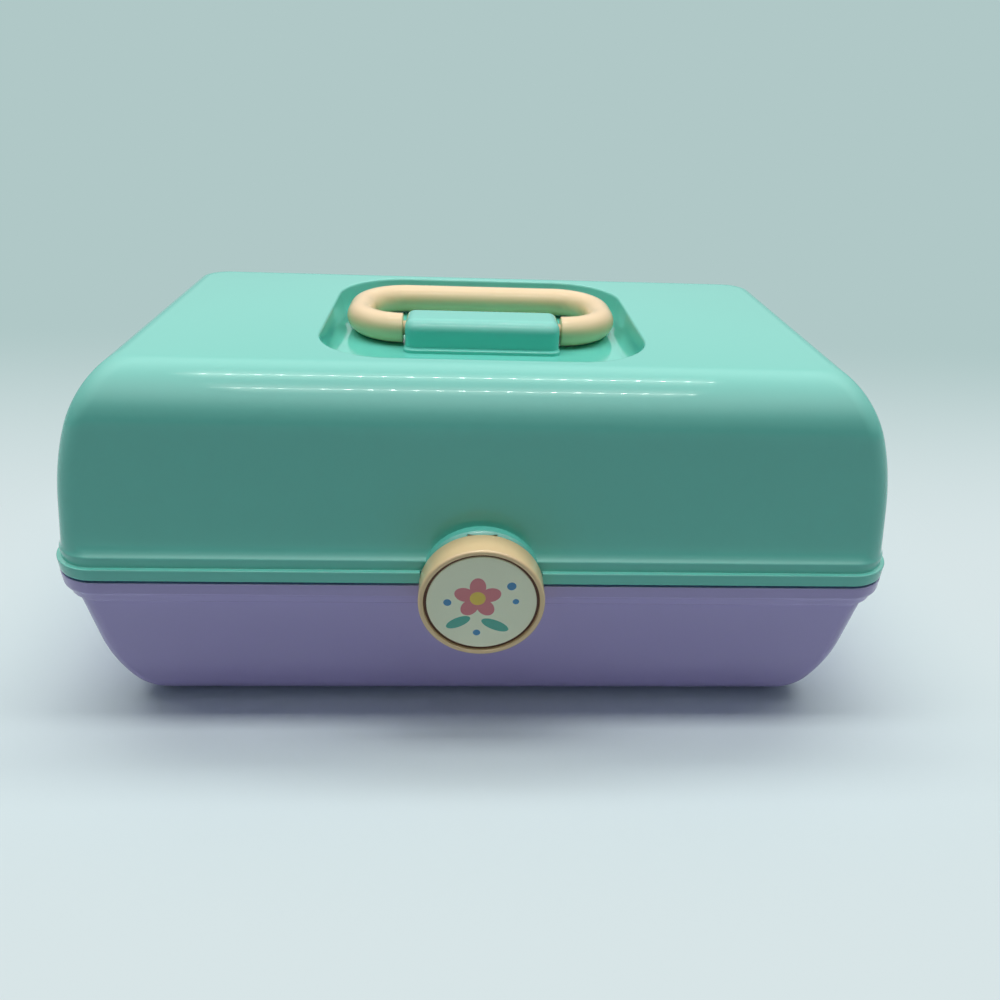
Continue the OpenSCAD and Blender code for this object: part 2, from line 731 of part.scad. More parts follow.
// A tray with round corners, a rolled rim, and one pocket for each cell, given as
// [column, columns, row start, row end] in shares of the tray's inside.
module tray(z, h, pivots, cells) {
    hw = tray_w / 2;
    hd = tray_d / 2;
    r = 10;
    lean = 0.03 * h;
    pad_d = 7.6;
    color(tray_white) difference() {
        union() {
            translate([0, tray_mid, z]) loft([
                [hw - lean - 2.6, hd - lean - 2.6, r - 2, 0],
                [hw - lean - 1.1, hd - lean - 1.1, r - 1, 0.8],
                [hw - lean - 0.6, hd - lean - 0.6, r, 2.2],
                [hw - 0.6, hd - 0.6, r, h - 2.4],
                [hw, hd, r, h - 2],
                [hw, hd, r, h - 0.5],
                [hw - 0.5, hd - 0.5, r - 0.5, h]], 5);
            for (s = [-1, 1], p = pivots) x_bar(s * (hw - 6), s * (arm_x - clear),
                                                p[0], p[1], pad_d);
        }
        for (c = cells) pocket(z, h, c, hw - tray_wall - lean - 0.8, hd - tray_wall - 0.8);
        for (s = [-1, 1], p = pivots)
            x_bar(s * (hw - rivet_in - 0.2), s * (arm_x + 1), p[0], p[1], rivet_d);
    }
}

module pocket(z, h, c, iw, id) {
    web = tray_wall / 2;
    w = 2 * iw / c[1];
    x_mid = -iw + w * (c[0] + 0.5);
    y0 = -id + 2 * id * c[2];
    y1 = -id + 2 * id * c[3];
    hw = w / 2 - web;
    hd = (y1 - y0) / 2 - web;
    translate([x_mid, tray_mid + (y0 + y1) / 2, z]) loft([
        [hw - 2.4, hd - 2.4, 3, tray_wall],
        [hw - 1, hd - 1, 4, tray_wall + 1.2],
        [hw, hd, 5, h - 0.4],
        [hw + 0.3, hd + 0.3, 5.3, h + 0.5]], 3);
}

lower_cells = concat([for (i = [0 : 1]) [i, 2, 0, 0.52]], [for (i = [0 : 2]) [i, 3, 0.52, 1]]);
upper_cells = concat([for (i = [0 : 3]) [i, 4, 0, 0.46]], [for (i = [0 : 1]) [i, 2, 0.46, 1]]);

module lower_tray() tray(tray_z, lower_tray_h, lower_pivots, lower_cells);
module upper_tray() tray(upper_z, upper_tray_h, upper_pivots, upper_cells);

// A rivet from the arm inwards into the tray; its head lies outside the arm or link.
module tray_rivet(s, x1, p) {
    x_bar(s * (tray_w / 2 - rivet_in), s * x1, p[0], p[1], rivet_d);
    x_bar(s * x1, s * (x1 + tray_head_h), p[0], p[1], rivet_head_d);
}

module lower_tray_rivets() {
    color(steel) for (s = [-1, 1]) {
        tray_rivet(s, arm_x + arm_t + clear / 2, lower_pivots[0]);
        tray_rivet(s, link_x + arm_t + clear, lower_pivots[1]);
    }
}

module upper_tray_rivets() {
    color(steel) for (s = [-1, 1], p = upper_pivots)
        tray_rivet(s, arm_x + arm_t + clear / 2, p);
}

base_shell();
hinge_pins();
arm_rivets();
lid_shell();
latch_pin();
link_rivets();
handle_block();
handle_block_screws();
handle();
handle_pins();
mirror_frame();
mirror_frame_screws();
mirror_glass();
latch_ring();
latch_disc();
front_arm_left();
front_arm_right();
rear_arm_left();
rear_arm_right();
drive_link_left();
drive_link_right();
lower_tray();
lower_tray_rivets();
upper_tray();
upper_tray_rivets();
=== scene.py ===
import math

import bmesh
import bpy
from mathutils import Matrix, Vector


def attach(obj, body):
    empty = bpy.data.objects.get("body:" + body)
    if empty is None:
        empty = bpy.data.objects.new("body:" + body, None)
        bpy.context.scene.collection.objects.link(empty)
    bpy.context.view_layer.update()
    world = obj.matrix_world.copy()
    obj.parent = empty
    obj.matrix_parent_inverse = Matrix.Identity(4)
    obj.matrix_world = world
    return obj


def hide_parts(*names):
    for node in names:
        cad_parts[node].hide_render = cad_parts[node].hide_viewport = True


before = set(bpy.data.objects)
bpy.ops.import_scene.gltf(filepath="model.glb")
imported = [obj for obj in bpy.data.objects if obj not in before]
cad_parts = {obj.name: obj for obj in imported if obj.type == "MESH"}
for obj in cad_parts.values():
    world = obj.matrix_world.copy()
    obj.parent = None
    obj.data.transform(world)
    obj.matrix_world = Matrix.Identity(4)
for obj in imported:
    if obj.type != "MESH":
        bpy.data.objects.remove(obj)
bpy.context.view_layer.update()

mm = 0.001
scene = bpy.context.scene


# ---- the table and the light ---------------------------------------------------------
# The case stands on a plain pale table in a light tent.  Two long strips overhead cast the
# two soft bands of shadow in front of it.  Gloss shows the tent instead: cloth that is
# brightest in the roof, with two rows of small lights that glint on the lid's front edge.

def colour(red, green, blue):
    """A colour as it looks, 0 to 255, in the linear values that a shader takes."""
    def linear(v):
        v /= 255
        return v / 12.92 if v <= 0.04045 else ((v + 0.055) / 1.055) ** 2.4
    return (linear(red), linear(green), linear(blue), 1)


class Wire:
    """One value in a finish; arithmetic on it adds Math nodes."""

    def __init__(self, finish, socket):
        self.finish, self.socket = finish, socket

    def _math(self, operation, *values):
        return self.finish.node("ShaderNodeMath", {"operation": operation}, *values)

    def __add__(self, other): return self._math("ADD", self, other)
    def __radd__(self, other): return self._math("ADD", other, self)
    def __sub__(self, other): return self._math("SUBTRACT", self, other)
    def __rsub__(self, other): return self._math("SUBTRACT", other, self)
    def __mul__(self, other): return self._math("MULTIPLY", self, other)
    def __rmul__(self, other): return self._math("MULTIPLY", other, self)
    def __truediv__(self, other): return self._math("DIVIDE", self, other)
    def __lt__(self, other): return self._math("LESS_THAN", self, other)
    def __gt__(self, other): return self._math("GREATER_THAN", self, other)
    def __abs__(self): return self._math("ABSOLUTE", self)
    def least(self, other): return self._math("MINIMUM", self, other)
    def most(self, other): return self._math("MAXIMUM", self, other)
    def root(self): return self._math("SQRT", self)
    def cycle(self, length): return self._math("PINGPONG", self, length)

    def fade(self, start, end):
        """0 at start and 1 at end, smooth between them."""
        return self.finish.node("ShaderNodeMapRange", {"interpolation_type": "SMOOTHSTEP"},
                                self, start, end, 0.0, 1.0)

    def split(self):
        """The three parts of a vector."""
        parts = self.finish.node("ShaderNodeSeparateXYZ", None, self).socket.node
        return [Wire(self.finish, out) for out in parts.outputs]


class Finish:
    """A material, or a world, that is being put together node by node."""

    def __init__(self, name, made=None):
        self.material = made or bpy.data.materials.new(name)
        self.material.use_nodes = True
        self.tree = self.material.node_tree
        self.surface = next(n for n in self.tree.nodes if "OUTPUT" not in n.type)
        self.coordinates = self.tree.nodes.new("ShaderNodeTexCoord")
        self.place = Wire(self, self.coordinates.outputs["Object"])

    def node(self, kind, settings=None, *values, pick=0, **named):
        """Adds a node: its settings, the values or wires of its inputs, one output back."""
        made = self.tree.nodes.new(kind)
        for key, value in (settings or {}).items():
            setattr(made, key, value)
        open_inputs = [s for s in made.inputs if s.enabled]
        pairs = list(zip(open_inputs, values))
        pairs += [(next(s for s in open_inputs if s.name == key.replace("_", " ")), value)
                  for key, value in named.items()]
        for socket, value in pairs:
            self.feed(socket, value)
        return Wire(self, [s for s in made.outputs if s.enabled][pick])

    def feed(self, socket, value):
        if isinstance(value, Wire):
            self.tree.links.new(value.socket, socket)
        else:
            socket.default_value = value

    def set(self, **named):
        for key, value in named.items():
            self.feed(self.surface.inputs[key.replace("_", " ")], value)
        return self

    def noise(self, scale, detail=2.0, roughness=0.5, vector=None):
        return self.node("ShaderNodeTexNoise", None, Vector=vector or self.place,
                         Scale=scale, Detail=detail, Roughness=roughness)

    def mix(self, share, first, second):
        return self.node("ShaderNodeMix", {"data_type": "RGBA"}, Factor=share, A=first,
                         B=second)

    def stretched(self, stretch, turn=(0, 0, 0)):
        return self.node("ShaderNodeMapping", None, self.place, Rotation=turn, Scale=stretch)

    def seen(self, kind):
        """1 for what the camera sees itself, or for what shows in a gloss."""
        path = self.tree.nodes.new("ShaderNodeLightPath").outputs
        return Wire(self, path[f"Is {kind} Ray"])

    def blend(self, share, colour_there):
        """Lets the surface give way to plain light, by a share."""
        glow = self.node("ShaderNodeEmission", None, colour_there, 1.0)
        mixed = self.node("ShaderNodeMixShader", None, share,
                          Wire(self, self.surface.outputs[0]), glow)
        self.feed(self.tree.nodes["Material Output"].inputs["Surface"], mixed)


backdrop = colour(176, 200, 199)


def table_white():
    """White laminate; away from the case it turns into the tent's pale cloth."""
    f = Finish("table_white")
    x, y, _ = f.place.split()
    foot_half_w, foot_half_d = 0.15, 0.085
    beside, before = (abs(x) - foot_half_w).most(0.0), (abs(y) - foot_half_d).most(0.0)
    away = (beside * beside + before * before).root()
    seen = f.seen("Camera").most(f.seen("Glossy"))
    laminate = f.mix(seen, (0.6, 0.67, 0.69, 1), (0.72, 0.82, 0.84, 1))
    f.set(Base_Color=laminate, Roughness=0.45, Specular_IOR_Level=0.1)
    cloth = f.mix(y.fade(0.0, 0.45), colour(216, 229, 231), backdrop)
    f.blend(seen * away.fade(0.01, 0.13), cloth)
    return f.material


bm = bmesh.new()
bmesh.ops.create_circle(bm, cap_ends=True, segments=96, radius=9)
table_mesh = bpy.data.meshes.new("table")
bm.to_mesh(table_mesh)
bm.free()
table = bpy.data.objects.new("table", table_mesh)
scene.collection.objects.link(table)
table_mesh.materials.append(table_white())


def strip(name, place, size, watts):
    """A long lamp that lights the case but doesn't show in gloss."""
    data = bpy.data.lights.new(name, "AREA")
    data.shape = "RECTANGLE"
    data.size, data.size_y = size
    data.energy = watts
    obj = bpy.data.objects.new(name, data)
    scene.collection.objects.link(obj)
    obj.location = place
    obj.visible_glossy = False


strip("strip_front", (0, -0.07, 0.95), (1.6, 0.13), 5.6)
strip("strip_back", (0, 0.189, 0.95), (1.6, 0.13), 4.8)

scene.world = bpy.data.worlds.new("tent")
tent = Finish("tent", scene.world)
x, y, z = Wire(tent, tent.coordinates.outputs["Generated"]).split()
cloth = tent.mix(y.fade(0.1, -0.8), (1.0, 1.05, 1.05, 1), (0.85, 0.9, 0.9, 1))
cloth = tent.mix(z.fade(0.3, 0.9), cloth, (3.4, 3.5, 3.5, 1))
cloth = tent.mix(z.fade(0.05, 0.35), backdrop, cloth)

# The rows lie in a level plane one unit above the case; they slant a little, end softly,
# and each has a faint glow round its lights.
back_row, front_row, slant, half_pitch, row_middle = 0.1, -0.45, 0.13, 0.0163, -0.01
along, across = x / z.most(0.1), (y - x * slant) / z.most(0.1)
off_row = abs(across - back_row).least(abs(across - front_row))
lights = along.cycle(half_pitch).fade(0.0048, 0.002) * 0.9 + 0.1
glints = off_row.fade(0.016, 0.008) * lights + off_row.fade(0.24, 0.0) * 0.055
glints = glints * abs(along - row_middle).fade(0.36, 0.31)
cloth = tent.mix(glints, cloth, (45, 45, 43, 1))

# What isn't gloss gets only a weak light from the tent, dimmer from the front.
fill = tent.mix(y.fade(0.35, -0.25), (0.3, 0.33, 0.33, 1), (0.07, 0.09, 0.095, 1))
cloth = tent.mix(tent.seen("Glossy"), fill, cloth)
tent.set(Color=tent.mix(tent.seen("Camera"), cloth, backdrop))
scene.view_settings.view_transform = "Standard"


# ---- the camera ----------------------------------------------------------------------
# It stands a forearm's length in front of the case and looks down on it, a little from
# the left, with the lens that a fit of the case's outline gave.

eye = Vector((-8.365, -338.616, 244.343)) * mm
yaw, pitch, roll = 0.05697, 0.50752, 0.04039
lens_px, frame_px = 799.05, 1000
ahead = Vector((math.sin(yaw) * math.cos(pitch), math.cos(yaw) * math.cos(pitch),
                -math.sin(pitch)))
side = Vector((math.cos(yaw), -math.sin(yaw), 0))
upward = side.cross(ahead)
tilted_side = side * math.cos(roll) + upward * math.sin(roll)
tilted_up = upward * math.cos(roll) - side * math.sin(roll)

lens = bpy.data.cameras.new("camera")
lens.sensor_width = 36
lens.lens = lens_px / frame_px * lens.sensor_width
lens.clip_start = 10 * mm
camera = bpy.data.objects.new("camera", lens)
scene.collection.objects.link(camera)
turn = Matrix((tilted_side, tilted_up, -ahead)).transposed().to_4x4()
camera.matrix_world = Matrix.Translation(eye) @ turn
scene.camera = camera


# ---- the base ------------------------------------------------------------------------
# The lower half is one lavender moulding in glossy ABS: a tub with big curves under its
# ends, a stepped rim, and a thin tongue round the rim that the lid's lip drops over.

case_w, case_d, case_h = 325 * mm, 178 * mm, 147 * mm
half_w, half_d = case_w / 2, case_d / 2
wall = 2.5 * mm
rim_r, body_r = 18 * mm, 9 * mm
base_top, rim_bottom, base_rise = 67.6 * mm, 57.4 * mm, 33 * mm


def quarter(t):
    """The drop of a quarter ellipse, 0 at t = 0 and 1 at t = 1."""
    return 1 - math.sqrt(max(0, 1 - min(max(t, 0), 1) ** 2))


def half_size(at_rim, draft, run, rise, from_rim, to_face, inset):
    """Half a shell's width or depth: it narrows from the rim by its draft, then curves over
    run and rise into the shell's flat face."""
    return (at_rim - inset - draft * from_rim
            - (run - inset) * quarter((rise - to_face) / (rise - inset)))


def base_at(z, inset=0):
    """The base's outline at a height, drawn in by an inset."""
    over, rise = 5.4 * mm, 11.4 * mm
    below = rim_bottom - z
    return (half_size(half_w - over, 0.103, 22 * mm, base_rise, below, z, inset),
            half_size(half_d - over, 0.124, rise, rise, below, z, inset), body_r - inset, z)


def rim(z, inset):
    """An outline parallel to the two rims, which share one plan."""
    return (half_w - inset, half_d - inset, rim_r - inset, z)


def soften(stations, reaches, steps=5):
    """Rounds the corners of a profile; a station is (half width, half depth, corner radius,
    z) or a flat point."""
    out = [stations[0]]
    for before, here, after, reach in zip(stations, stations[1:], stations[2:], reaches):
        a, b, c = (Vector(s[:2] + s[3:]) for s in (before, here, after))
        near = min(reach / max((b - a).length, 1e-9), 0.49)
        far = min(reach / max((c - b).length, 1e-9), 0.49)
        start = [h + (g - h) * near for g, h in zip(before, here)]
        end = [h + (g - h) * far for g, h in zip(after, here)]
        for k in range(steps + 1):
            t = k / steps
            out.append(tuple((1 - t) ** 2 * p + 2 * t * (1 - t) * h + t * t * q
                             for p, h, q in zip(start, here, end)))
    return out + [stations[-1]]


def ring(station, corner_steps=18):
    """The points of a round-cornered rectangle."""
    w, d, r, z = station
    points = []
    for q, (sx, sy) in enumerate(((1, 1), (-1, 1), (-1, -1), (1, -1))):
        for i in range(corner_steps + 1):
            a = math.radians(90 * (q + i / corner_steps))
            points.append(Vector((sx * (w - r) + r * math.cos(a),
                                  sy * (d - r) + r * math.sin(a), z)))
    return points


def skin(bm, loops):
    """Joins loops of points with quads and caps the first and the last."""
    rows = [[bm.verts.new(p) for p in loop] for loop in loops]
    n = len(rows[0])
    for low, high in zip(rows, rows[1:]):
        for i in range(n):
            j = (i + 1) % n
            bm.faces.new((low[i], low[j], high[j], high[i]))
    bm.faces.new(rows[0][::-1])
    bm.faces.new(rows[-1])


def piece(name, bm, crease=32):
    """Makes a smooth-shaded object of a mesh, with its true edges kept crisp."""
    bmesh.ops.recalc_face_normals(bm, faces=bm.faces)
    mesh = bpy.data.meshes.new(name)
    bm.to_mesh(mesh)
    bm.free()
    mesh.shade_smooth()
    mesh.set_sharp_from_angle(angle=math.radians(crease))
    obj = bpy.data.objects.new(name, mesh)
    scene.collection.objects.link(obj)
    return obj


def applied(obj):
    """A new mesh that has the object's modifiers worked in."""
    graph = bpy.context.evaluated_depsgraph_get()
    return bpy.data.meshes.new_from_object(obj.evaluated_get(graph))


def combine(target, *tools, how="DIFFERENCE", crease=32):
    """Cuts tools from a piece or joins them to it, and uses the tools up."""
    for tool in tools:
        cut = target.modifiers.new("cut", "BOOLEAN")
        cut.operation, cut.object, cut.solver = how, tool, "MANIFOLD"
    old, shaped = target.data, applied(target)
    target.modifiers.clear()
    target.data = shaped
    shaped.name = old.name
    bpy.data.meshes.remove(old)
    for tool in tools:
        bpy.data.objects.remove(tool)
    shaped.shade_smooth()
    shaped.set_sharp_from_angle(angle=math.radians(crease))
    return target


def block(bm, low, high, bevel=0.0):
    """A box between two corners, with its edges rounded."""
    size = [h - l for l, h in zip(low, high)]
    centre = [(h + l) / 2 for l, h in zip(low, high)]
    made = bmesh.ops.create_cube(bm, size=1, matrix=Matrix.LocRotScale(
        Vector(centre), None, Vector(size)))
    if bevel:
        edges = list(dict.fromkeys(e for v in made["verts"] for e in v.link_edges))
        bmesh.ops.bevel(bm, geom=edges, offset=bevel, segments=3, profile=0.5,
                        affect="EDGES")


def circle(sides):
    """The angles of a regular polygon's corners."""
    return [2 * math.pi * k / sides for k in range(sides)]


def rod(bm, x0, x1, y, z, d, edge=0.0):
    """A round bar along X, with its two end edges rounded."""
    x0, x1, r = min(x0, x1), max(x0, x1), d / 2
    rounding = [(edge * (1 - math.cos(a)), edge * (1 - math.sin(a)))
                for a in map(math.radians, (0, 22, 45, 67, 90))] if edge else [(0, 0)]
    profile = ([(x0 + a, r - b) for a, b in rounding]
               + [(x1 - a, r - b) for a, b in reversed(rounding)])
    skin(bm, [[Vector((x, y + s * math.cos(a), z + s * math.sin(a))) for a in circle(40)]
              for x, s in profile])


def base_profile():
    """The base's section, from the middle of its underside over the rim to its floor."""
    under_rim = 54.6 * mm
    heights = [base_rise * (1 - math.cos(math.pi / 2 * k / 30)) for k in range(31)]
    heights += [base_rise + (under_rim - base_rise) * k / 8 for k in range(1, 9)]
    outer = [base_at(z) for z in heights]
    z, mouth = rim_bottom, base_at(rim_bottom, wall)
    edge = soften([
        outer[-1], (half_w - 5.6 * mm, half_d - 5.6 * mm, 9.4 * mm, z - 1.2 * mm),
        rim(z - 0.1 * mm, 3.1 * mm), rim(z + 0.9 * mm, 2.0 * mm), rim(z + 4.2 * mm, 1.3 * mm),
        rim(z + 4.4 * mm, 0.5 * mm), rim(z + 5.4 * mm, 0.05 * mm), rim(base_top, 0),
        rim(base_top, 3.7 * mm), rim(base_top + 2 * mm, 3.7 * mm),
        rim(base_top + 2 * mm, 5.2 * mm), rim(base_top, 5.2 * mm), mouth[:3] + (base_top,),
        mouth], [m * mm for m in (1.2, 0.8, 0.5, 0.4, 0.3, 0.5, 0.5, 0.3, 0.3, 0.3, 0.3, 0.5)])
    inner = [base_at(wall + (base_rise - wall) * (1 - math.sin(math.pi / 2 * k / 24)), wall)
             for k in range(25)]
    return outer + edge[1:] + inner


def dress(obj, body, material, node=None):
    """Hangs a piece on its body's empty, gives it its finish, and hides the CAD node it stands
    in for.
    """
    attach(obj, body)
    if node:
        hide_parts(node)
    obj.data.materials.clear()
    obj.data.materials.append(material)


def shade(rgba, gain):
    """A colour made darker or lighter."""
    return tuple(v * gain for v in rgba[:3]) + (1,)


def union(masks):
    """1 where any of the masks is."""
    first, *others = masks
    for mask in others:
        first = first.most(mask)
    return first


def moulded(name, tint, polish=0.03, scuffs=1.0):
    """Glossy injection-moulded plastic, with the flow, haze and hairlines of a used case."""
    f = Finish(name)
    flow = f.noise(7.0, 3.0)
    specks = f.node("ShaderNodeTexVoronoi", None, Vector=f.place, Scale=24.0)
    rare = f.node("ShaderNodeTexVoronoi", None, Vector=f.place, Scale=24.0, pick=1)
    rare = f.node("ShaderNodeSeparateColor", None, rare)
    speck = (specks < 0.009) * (rare > 0.82)
    body = f.mix(flow, shade(tint, 0.965), shade(tint, 1.03))
    body = f.mix(speck * 0.75, body, shade(tint, 0.12))
    haze = f.noise(19.0, 5.0, 0.62).fade(0.42, 0.78)
    long_ways = [f.stretched((34, 1100, 34), (0.2 * k, 0.4, turn))
                 for k, turn in enumerate((0.35, 1.25, 2.3))]
    lines = union(f.noise(1.0, 1.0, 0.5, way).fade(0.715, 0.76) for way in long_ways)
    lines = lines * f.noise(11.0, 1.0).fade(0.5, 0.68)
    ripple, peel = f.noise(26.0, 1.5), f.noise(620.0, 2.0)
    height = ripple + peel * 0.02 - lines * (0.03 * scuffs)
    bump = f.node("ShaderNodeBump", None, Height=height, Strength=0.35,
                  Distance=0.12 * mm)
    f.set(Base_Color=body, Roughness=polish + haze * 0.04 + lines * (0.16 * scuffs),
          Normal=bump, IOR=1.49)
    return f.material


bm = bmesh.new()
skin(bm, [ring(s) for s in base_profile()])
base = piece("base_moulding", bm)
lavender = moulded("lavender_abs", colour(168, 154, 206))
dress(base, "base", lavender, "base_shell")

# A keeper for the latch's hook hangs under the front of the rim, and four posts inside the
# end walls take the arms' rivets.
front_pivot, rear_pivot = (19.1 * mm, 51.216 * mm), (66.1 * mm, 51.216 * mm)
eye_d = 8.4 * mm
bm = bmesh.new()
block(bm, (-13 * mm, -half_d, rim_bottom - 3.6 * mm),
      (13 * mm, -half_d + 8.4 * mm, rim_bottom + 4.4 * mm), 0.6 * mm)
for s in (-1, 1):
    for y, z in (front_pivot, rear_pivot):
        rod(bm, s * 142.8 * mm, s * 155 * mm, y, z, eye_d, 0.3 * mm)
keeper = piece("keeper_and_posts", bm)
dress(keeper, "base", lavender)


# ---- the lid -------------------------------------------------------------------------
# The upper half is one mint moulding in the same ABS.  It flares out to a set-back band
# and a lip, its front edge is one even roll, and a deep round-cornered recess takes the
# folded handle.  The round boss that carries the latch grows out of its front.

lid_bottom, lip_h, lip_t, band_h = 68.6 * mm, 4.9 * mm, 3.1 * mm, 4 * mm
lid_start, lid_rise = 84.5 * mm, 50 * mm
recess_floor = 136 * mm
recess_w, recess_half_d, recess_r = 128 * mm, 58 * mm, 29 * mm


def lid_at(z, inset=0):
    """The lid's outline at a height, drawn in by an inset."""
    over, above, under_top = 4.8 * mm, z - lid_start, case_h - z
    return (half_size(half_w - over, 0.136, 20 * mm, lid_rise, above, under_top, inset),
            half_size(half_d - over, 0.073, 18 * mm, 21 * mm, above, under_top, inset),
            body_r - inset, z)


def tub(z, grow):
    """The outline of the handle's recess, grown outwards."""
    return (recess_w / 2 + grow, recess_half_d + grow, recess_r + grow, z)


def lid_profile():
    """The lid's section, from the recess floor over the top and the lip to the inside."""
    recess = soften([
        tub(recess_floor, -12 * mm), tub(recess_floor, -1.8 * mm), tub(case_h, 0.3 * mm),
        tub(case_h, 2.2 * mm)], [6.5 * mm, 1.2 * mm])
    outer = [lid_at(case_h - lid_rise * (1 - math.cos(math.pi / 2 * k / 44)))
             for k in range(45)]
    band_z, mouth = lid_bottom + lip_h, lid_at(lid_start, wall)
    flare_z = band_z + band_h
    lower = soften([
        outer[-1], lid_at(lid_start),
        (half_w - 3.9 * mm, half_d - 3.9 * mm, 10.8 * mm, flare_z + 3.2 * mm),
        (half_w - 2.9 * mm, half_d - 2.9 * mm, 13.5 * mm, flare_z + 1.2 * mm),
        (half_w - 1.75 * mm, half_d - 1.75 * mm, 16 * mm, flare_z),
        rim(band_z, 1.7 * mm), rim(band_z, 0), rim(lid_bottom, 0), rim(lid_bottom, lip_t),
        rim(lid_bottom + 3 * mm, lip_t), mouth[:3] + (lid_bottom + 3.6 * mm,), mouth],
        [m * mm for m in (6, 1.6, 1.2, 0.5, 0.3, 0.6, 0.5, 0.3, 0.3, 0.3)])
    inner = [lid_at(case_h - lid_rise + (lid_rise - wall) * math.sin(math.pi / 2 * k / 36),
                    wall) for k in range(37)]
    ceiling = case_h - wall
    under = soften([inner[-1], tub(ceiling, wall), tub(recess_floor - wall, wall - 3 * mm),
                    tub(recess_floor - wall, -12 * mm)], [1 * mm, 2 * mm])
    return recess + outer + lower[1:] + inner + under[1:]


bm = bmesh.new()
skin(bm, [ring(s, 24) for s in lid_profile()])
lid = piece("lid_moulding", bm)

latch_z, latch_d = 67.7 * mm, 47.2 * mm
boss_front = -half_d - 0.3 * mm
boss_r = latch_d / 2 - 0.2 * mm
lip_stop = 23.2 * mm


def half_disc(bm, profile):
    """A turned shape about the latch's axis, cut off level at the lid's bottom."""
    sides, loops = 72, []
    for y, r in profile:
        low = math.asin((lid_bottom - latch_z) / r)
        loops.append([Vector((r * math.cos(a), y, latch_z + r * math.sin(a)))
                      for a in (low + (math.pi - 2 * low) * k / sides
                                for k in range(sides + 1))])
    skin(bm, loops)


bm = bmesh.new()
block(bm, (-lip_stop, -half_d - 1 * mm, lid_bottom - 1 * mm),
      (lip_stop, -half_d + 1.7 * mm, lid_bottom + lip_h + 0.02 * mm))
notch = piece("notch", bm)
bm = bmesh.new()
half_disc(bm, [(boss_front + y * mm, boss_r + r * mm) for y, r in (
    (0, -2.9), (0.12, -2.6), (0.4, -2.25), (2.1, -0.35), (2.5, -0.08), (3, 0), (9, 0))])
boss = piece("boss", bm)
pivot_y, pivot_z = -86.3 * mm, 87.7 * mm
pocket_half_w = 5.6 * mm
bm = bmesh.new()
block(bm, (-pocket_half_w, boss_front - 1 * mm, lid_bottom + 4 * mm),
      (pocket_half_w, pivot_y + 2.1 * mm, pivot_z + 2.1 * mm))
pocket = piece("pocket", bm)
combine(lid, notch)
combine(lid, boss, how="UNION")
combine(lid, pocket)
mint = moulded("mint_abs", colour(101, 198, 182))
dress(lid, "lid", mint, "lid_shell")


def upright(bm, x, y, low, high, r):
    """A plain round post along Z."""
    bmesh.ops.create_cone(bm, cap_ends=True, segments=32, radius1=r, radius2=r,
                          depth=high - low,
                          matrix=Matrix.Translation((x, y, (low + high) / 2)))


# The lid hides a mirror frame and carries the links; short posts inside its roof and its
# end walls take their screws and rivets.
link_pivot = (49.653 * mm, 78.123 * mm)
frame_screws = [(sx * 105.5 * mm, sy * 41 * mm) for sx in (-1, 1) for sy in (-1, 1)]
bm = bmesh.new()
for x, y in frame_screws:
    upright(bm, x, y, 131.5 * mm, 144.9 * mm, 4 * mm)
for s in (-1, 1):
    rod(bm, s * 145.5 * mm, s * 155 * mm, *link_pivot, eye_d, 0.3 * mm)
posts = piece("lid_posts", bm)
dress(posts, "lid", mint)


# ---- the hinges ----------------------------------------------------------------------
# Two three-knuckle hinges are moulded onto the back edges: the base has the outer
# knuckles and the lid the middle ones, and a steel pin runs through each three.

hinge_y, hinge_z, barrel_d = 93.5 * mm, 68 * mm, 8 * mm
knuckle_l, hinge_x = 12 * mm, 84 * mm


def eased(x0, x1, edge):
    """Places along X, each with its inset, that round both ends of a bar."""
    first = 0.1 * mm
    return [(x0, edge), (x0 + first, first), (x0 + edge, 0),
            (x1 - edge, 0), (x1 - first, first), (x1, edge)]


def knuckle(bm, x0, x1, up):
    """A barrel with the web that joins it to a rim; up is 1 on the lid, -1 on the base."""
    r, sides = barrel_d / 2, 28
    web = [(half_d - 1 * mm, 7.6 * mm), (hinge_y - 0.6 * mm, 6.4 * mm)]
    turn = [(hinge_y + r * math.cos(a), r * math.sin(a))
            for a in (math.radians(48 - 228 * k / sides) for k in range(sides + 1))]
    outline = web + turn + [(hinge_y - r, 0.6 * mm), (half_d - 1 * mm, 0.6 * mm)]
    skin(bm, [[Vector((x, y + (hinge_y - y) * inset / (8 * mm),
                       hinge_z + up * z * (1 - inset / (4 * mm)))) for y, z in outline]
              for x, inset in eased(x0, x1, 0.35 * mm)])


for up, body, finish, slot, rows in ((-1, "base", lavender, "lavender_shell", (-1, 1)),
                                     (1, "lid", mint, "mint_shell", (0,))):
    bm = bmesh.new()
    for s in (-1, 1):
        for k in rows:
            middle, reach = s * hinge_x + k * knuckle_l, knuckle_l / 2 - 0.15 * mm
            knuckle(bm, middle - reach, middle + reach, up)
    knuckles = piece(f"{body}_knuckles", bm)
    bm = bmesh.new()
    for s in (-1, 1):
        rod(bm, s * hinge_x - 20 * mm, s * hinge_x + 20 * mm, hinge_y, hinge_z, 3.1 * mm)
    combine(knuckles, piece("bores", bm))
    dress(knuckles, body, finish)


def drawn_steel():
    """Plated steel wire, with fine drawing lines along it and a little haze."""
    f = Finish("drawn_steel")
    lines = f.noise(1.0, 2.0, 0.5, f.stretched((90, 2600, 2600)))
    haze = f.noise(210.0, 3.0)
    bump = f.node("ShaderNodeBump", None, Height=lines, Strength=0.3, Distance=0.03 * mm)
    f.set(Base_Color=f.mix(haze, colour(184, 187, 192), colour(207, 209, 212)), Metallic=1.0,
          Roughness=0.18 + lines * 0.12 + haze * 0.07, Normal=bump)
    return f.material


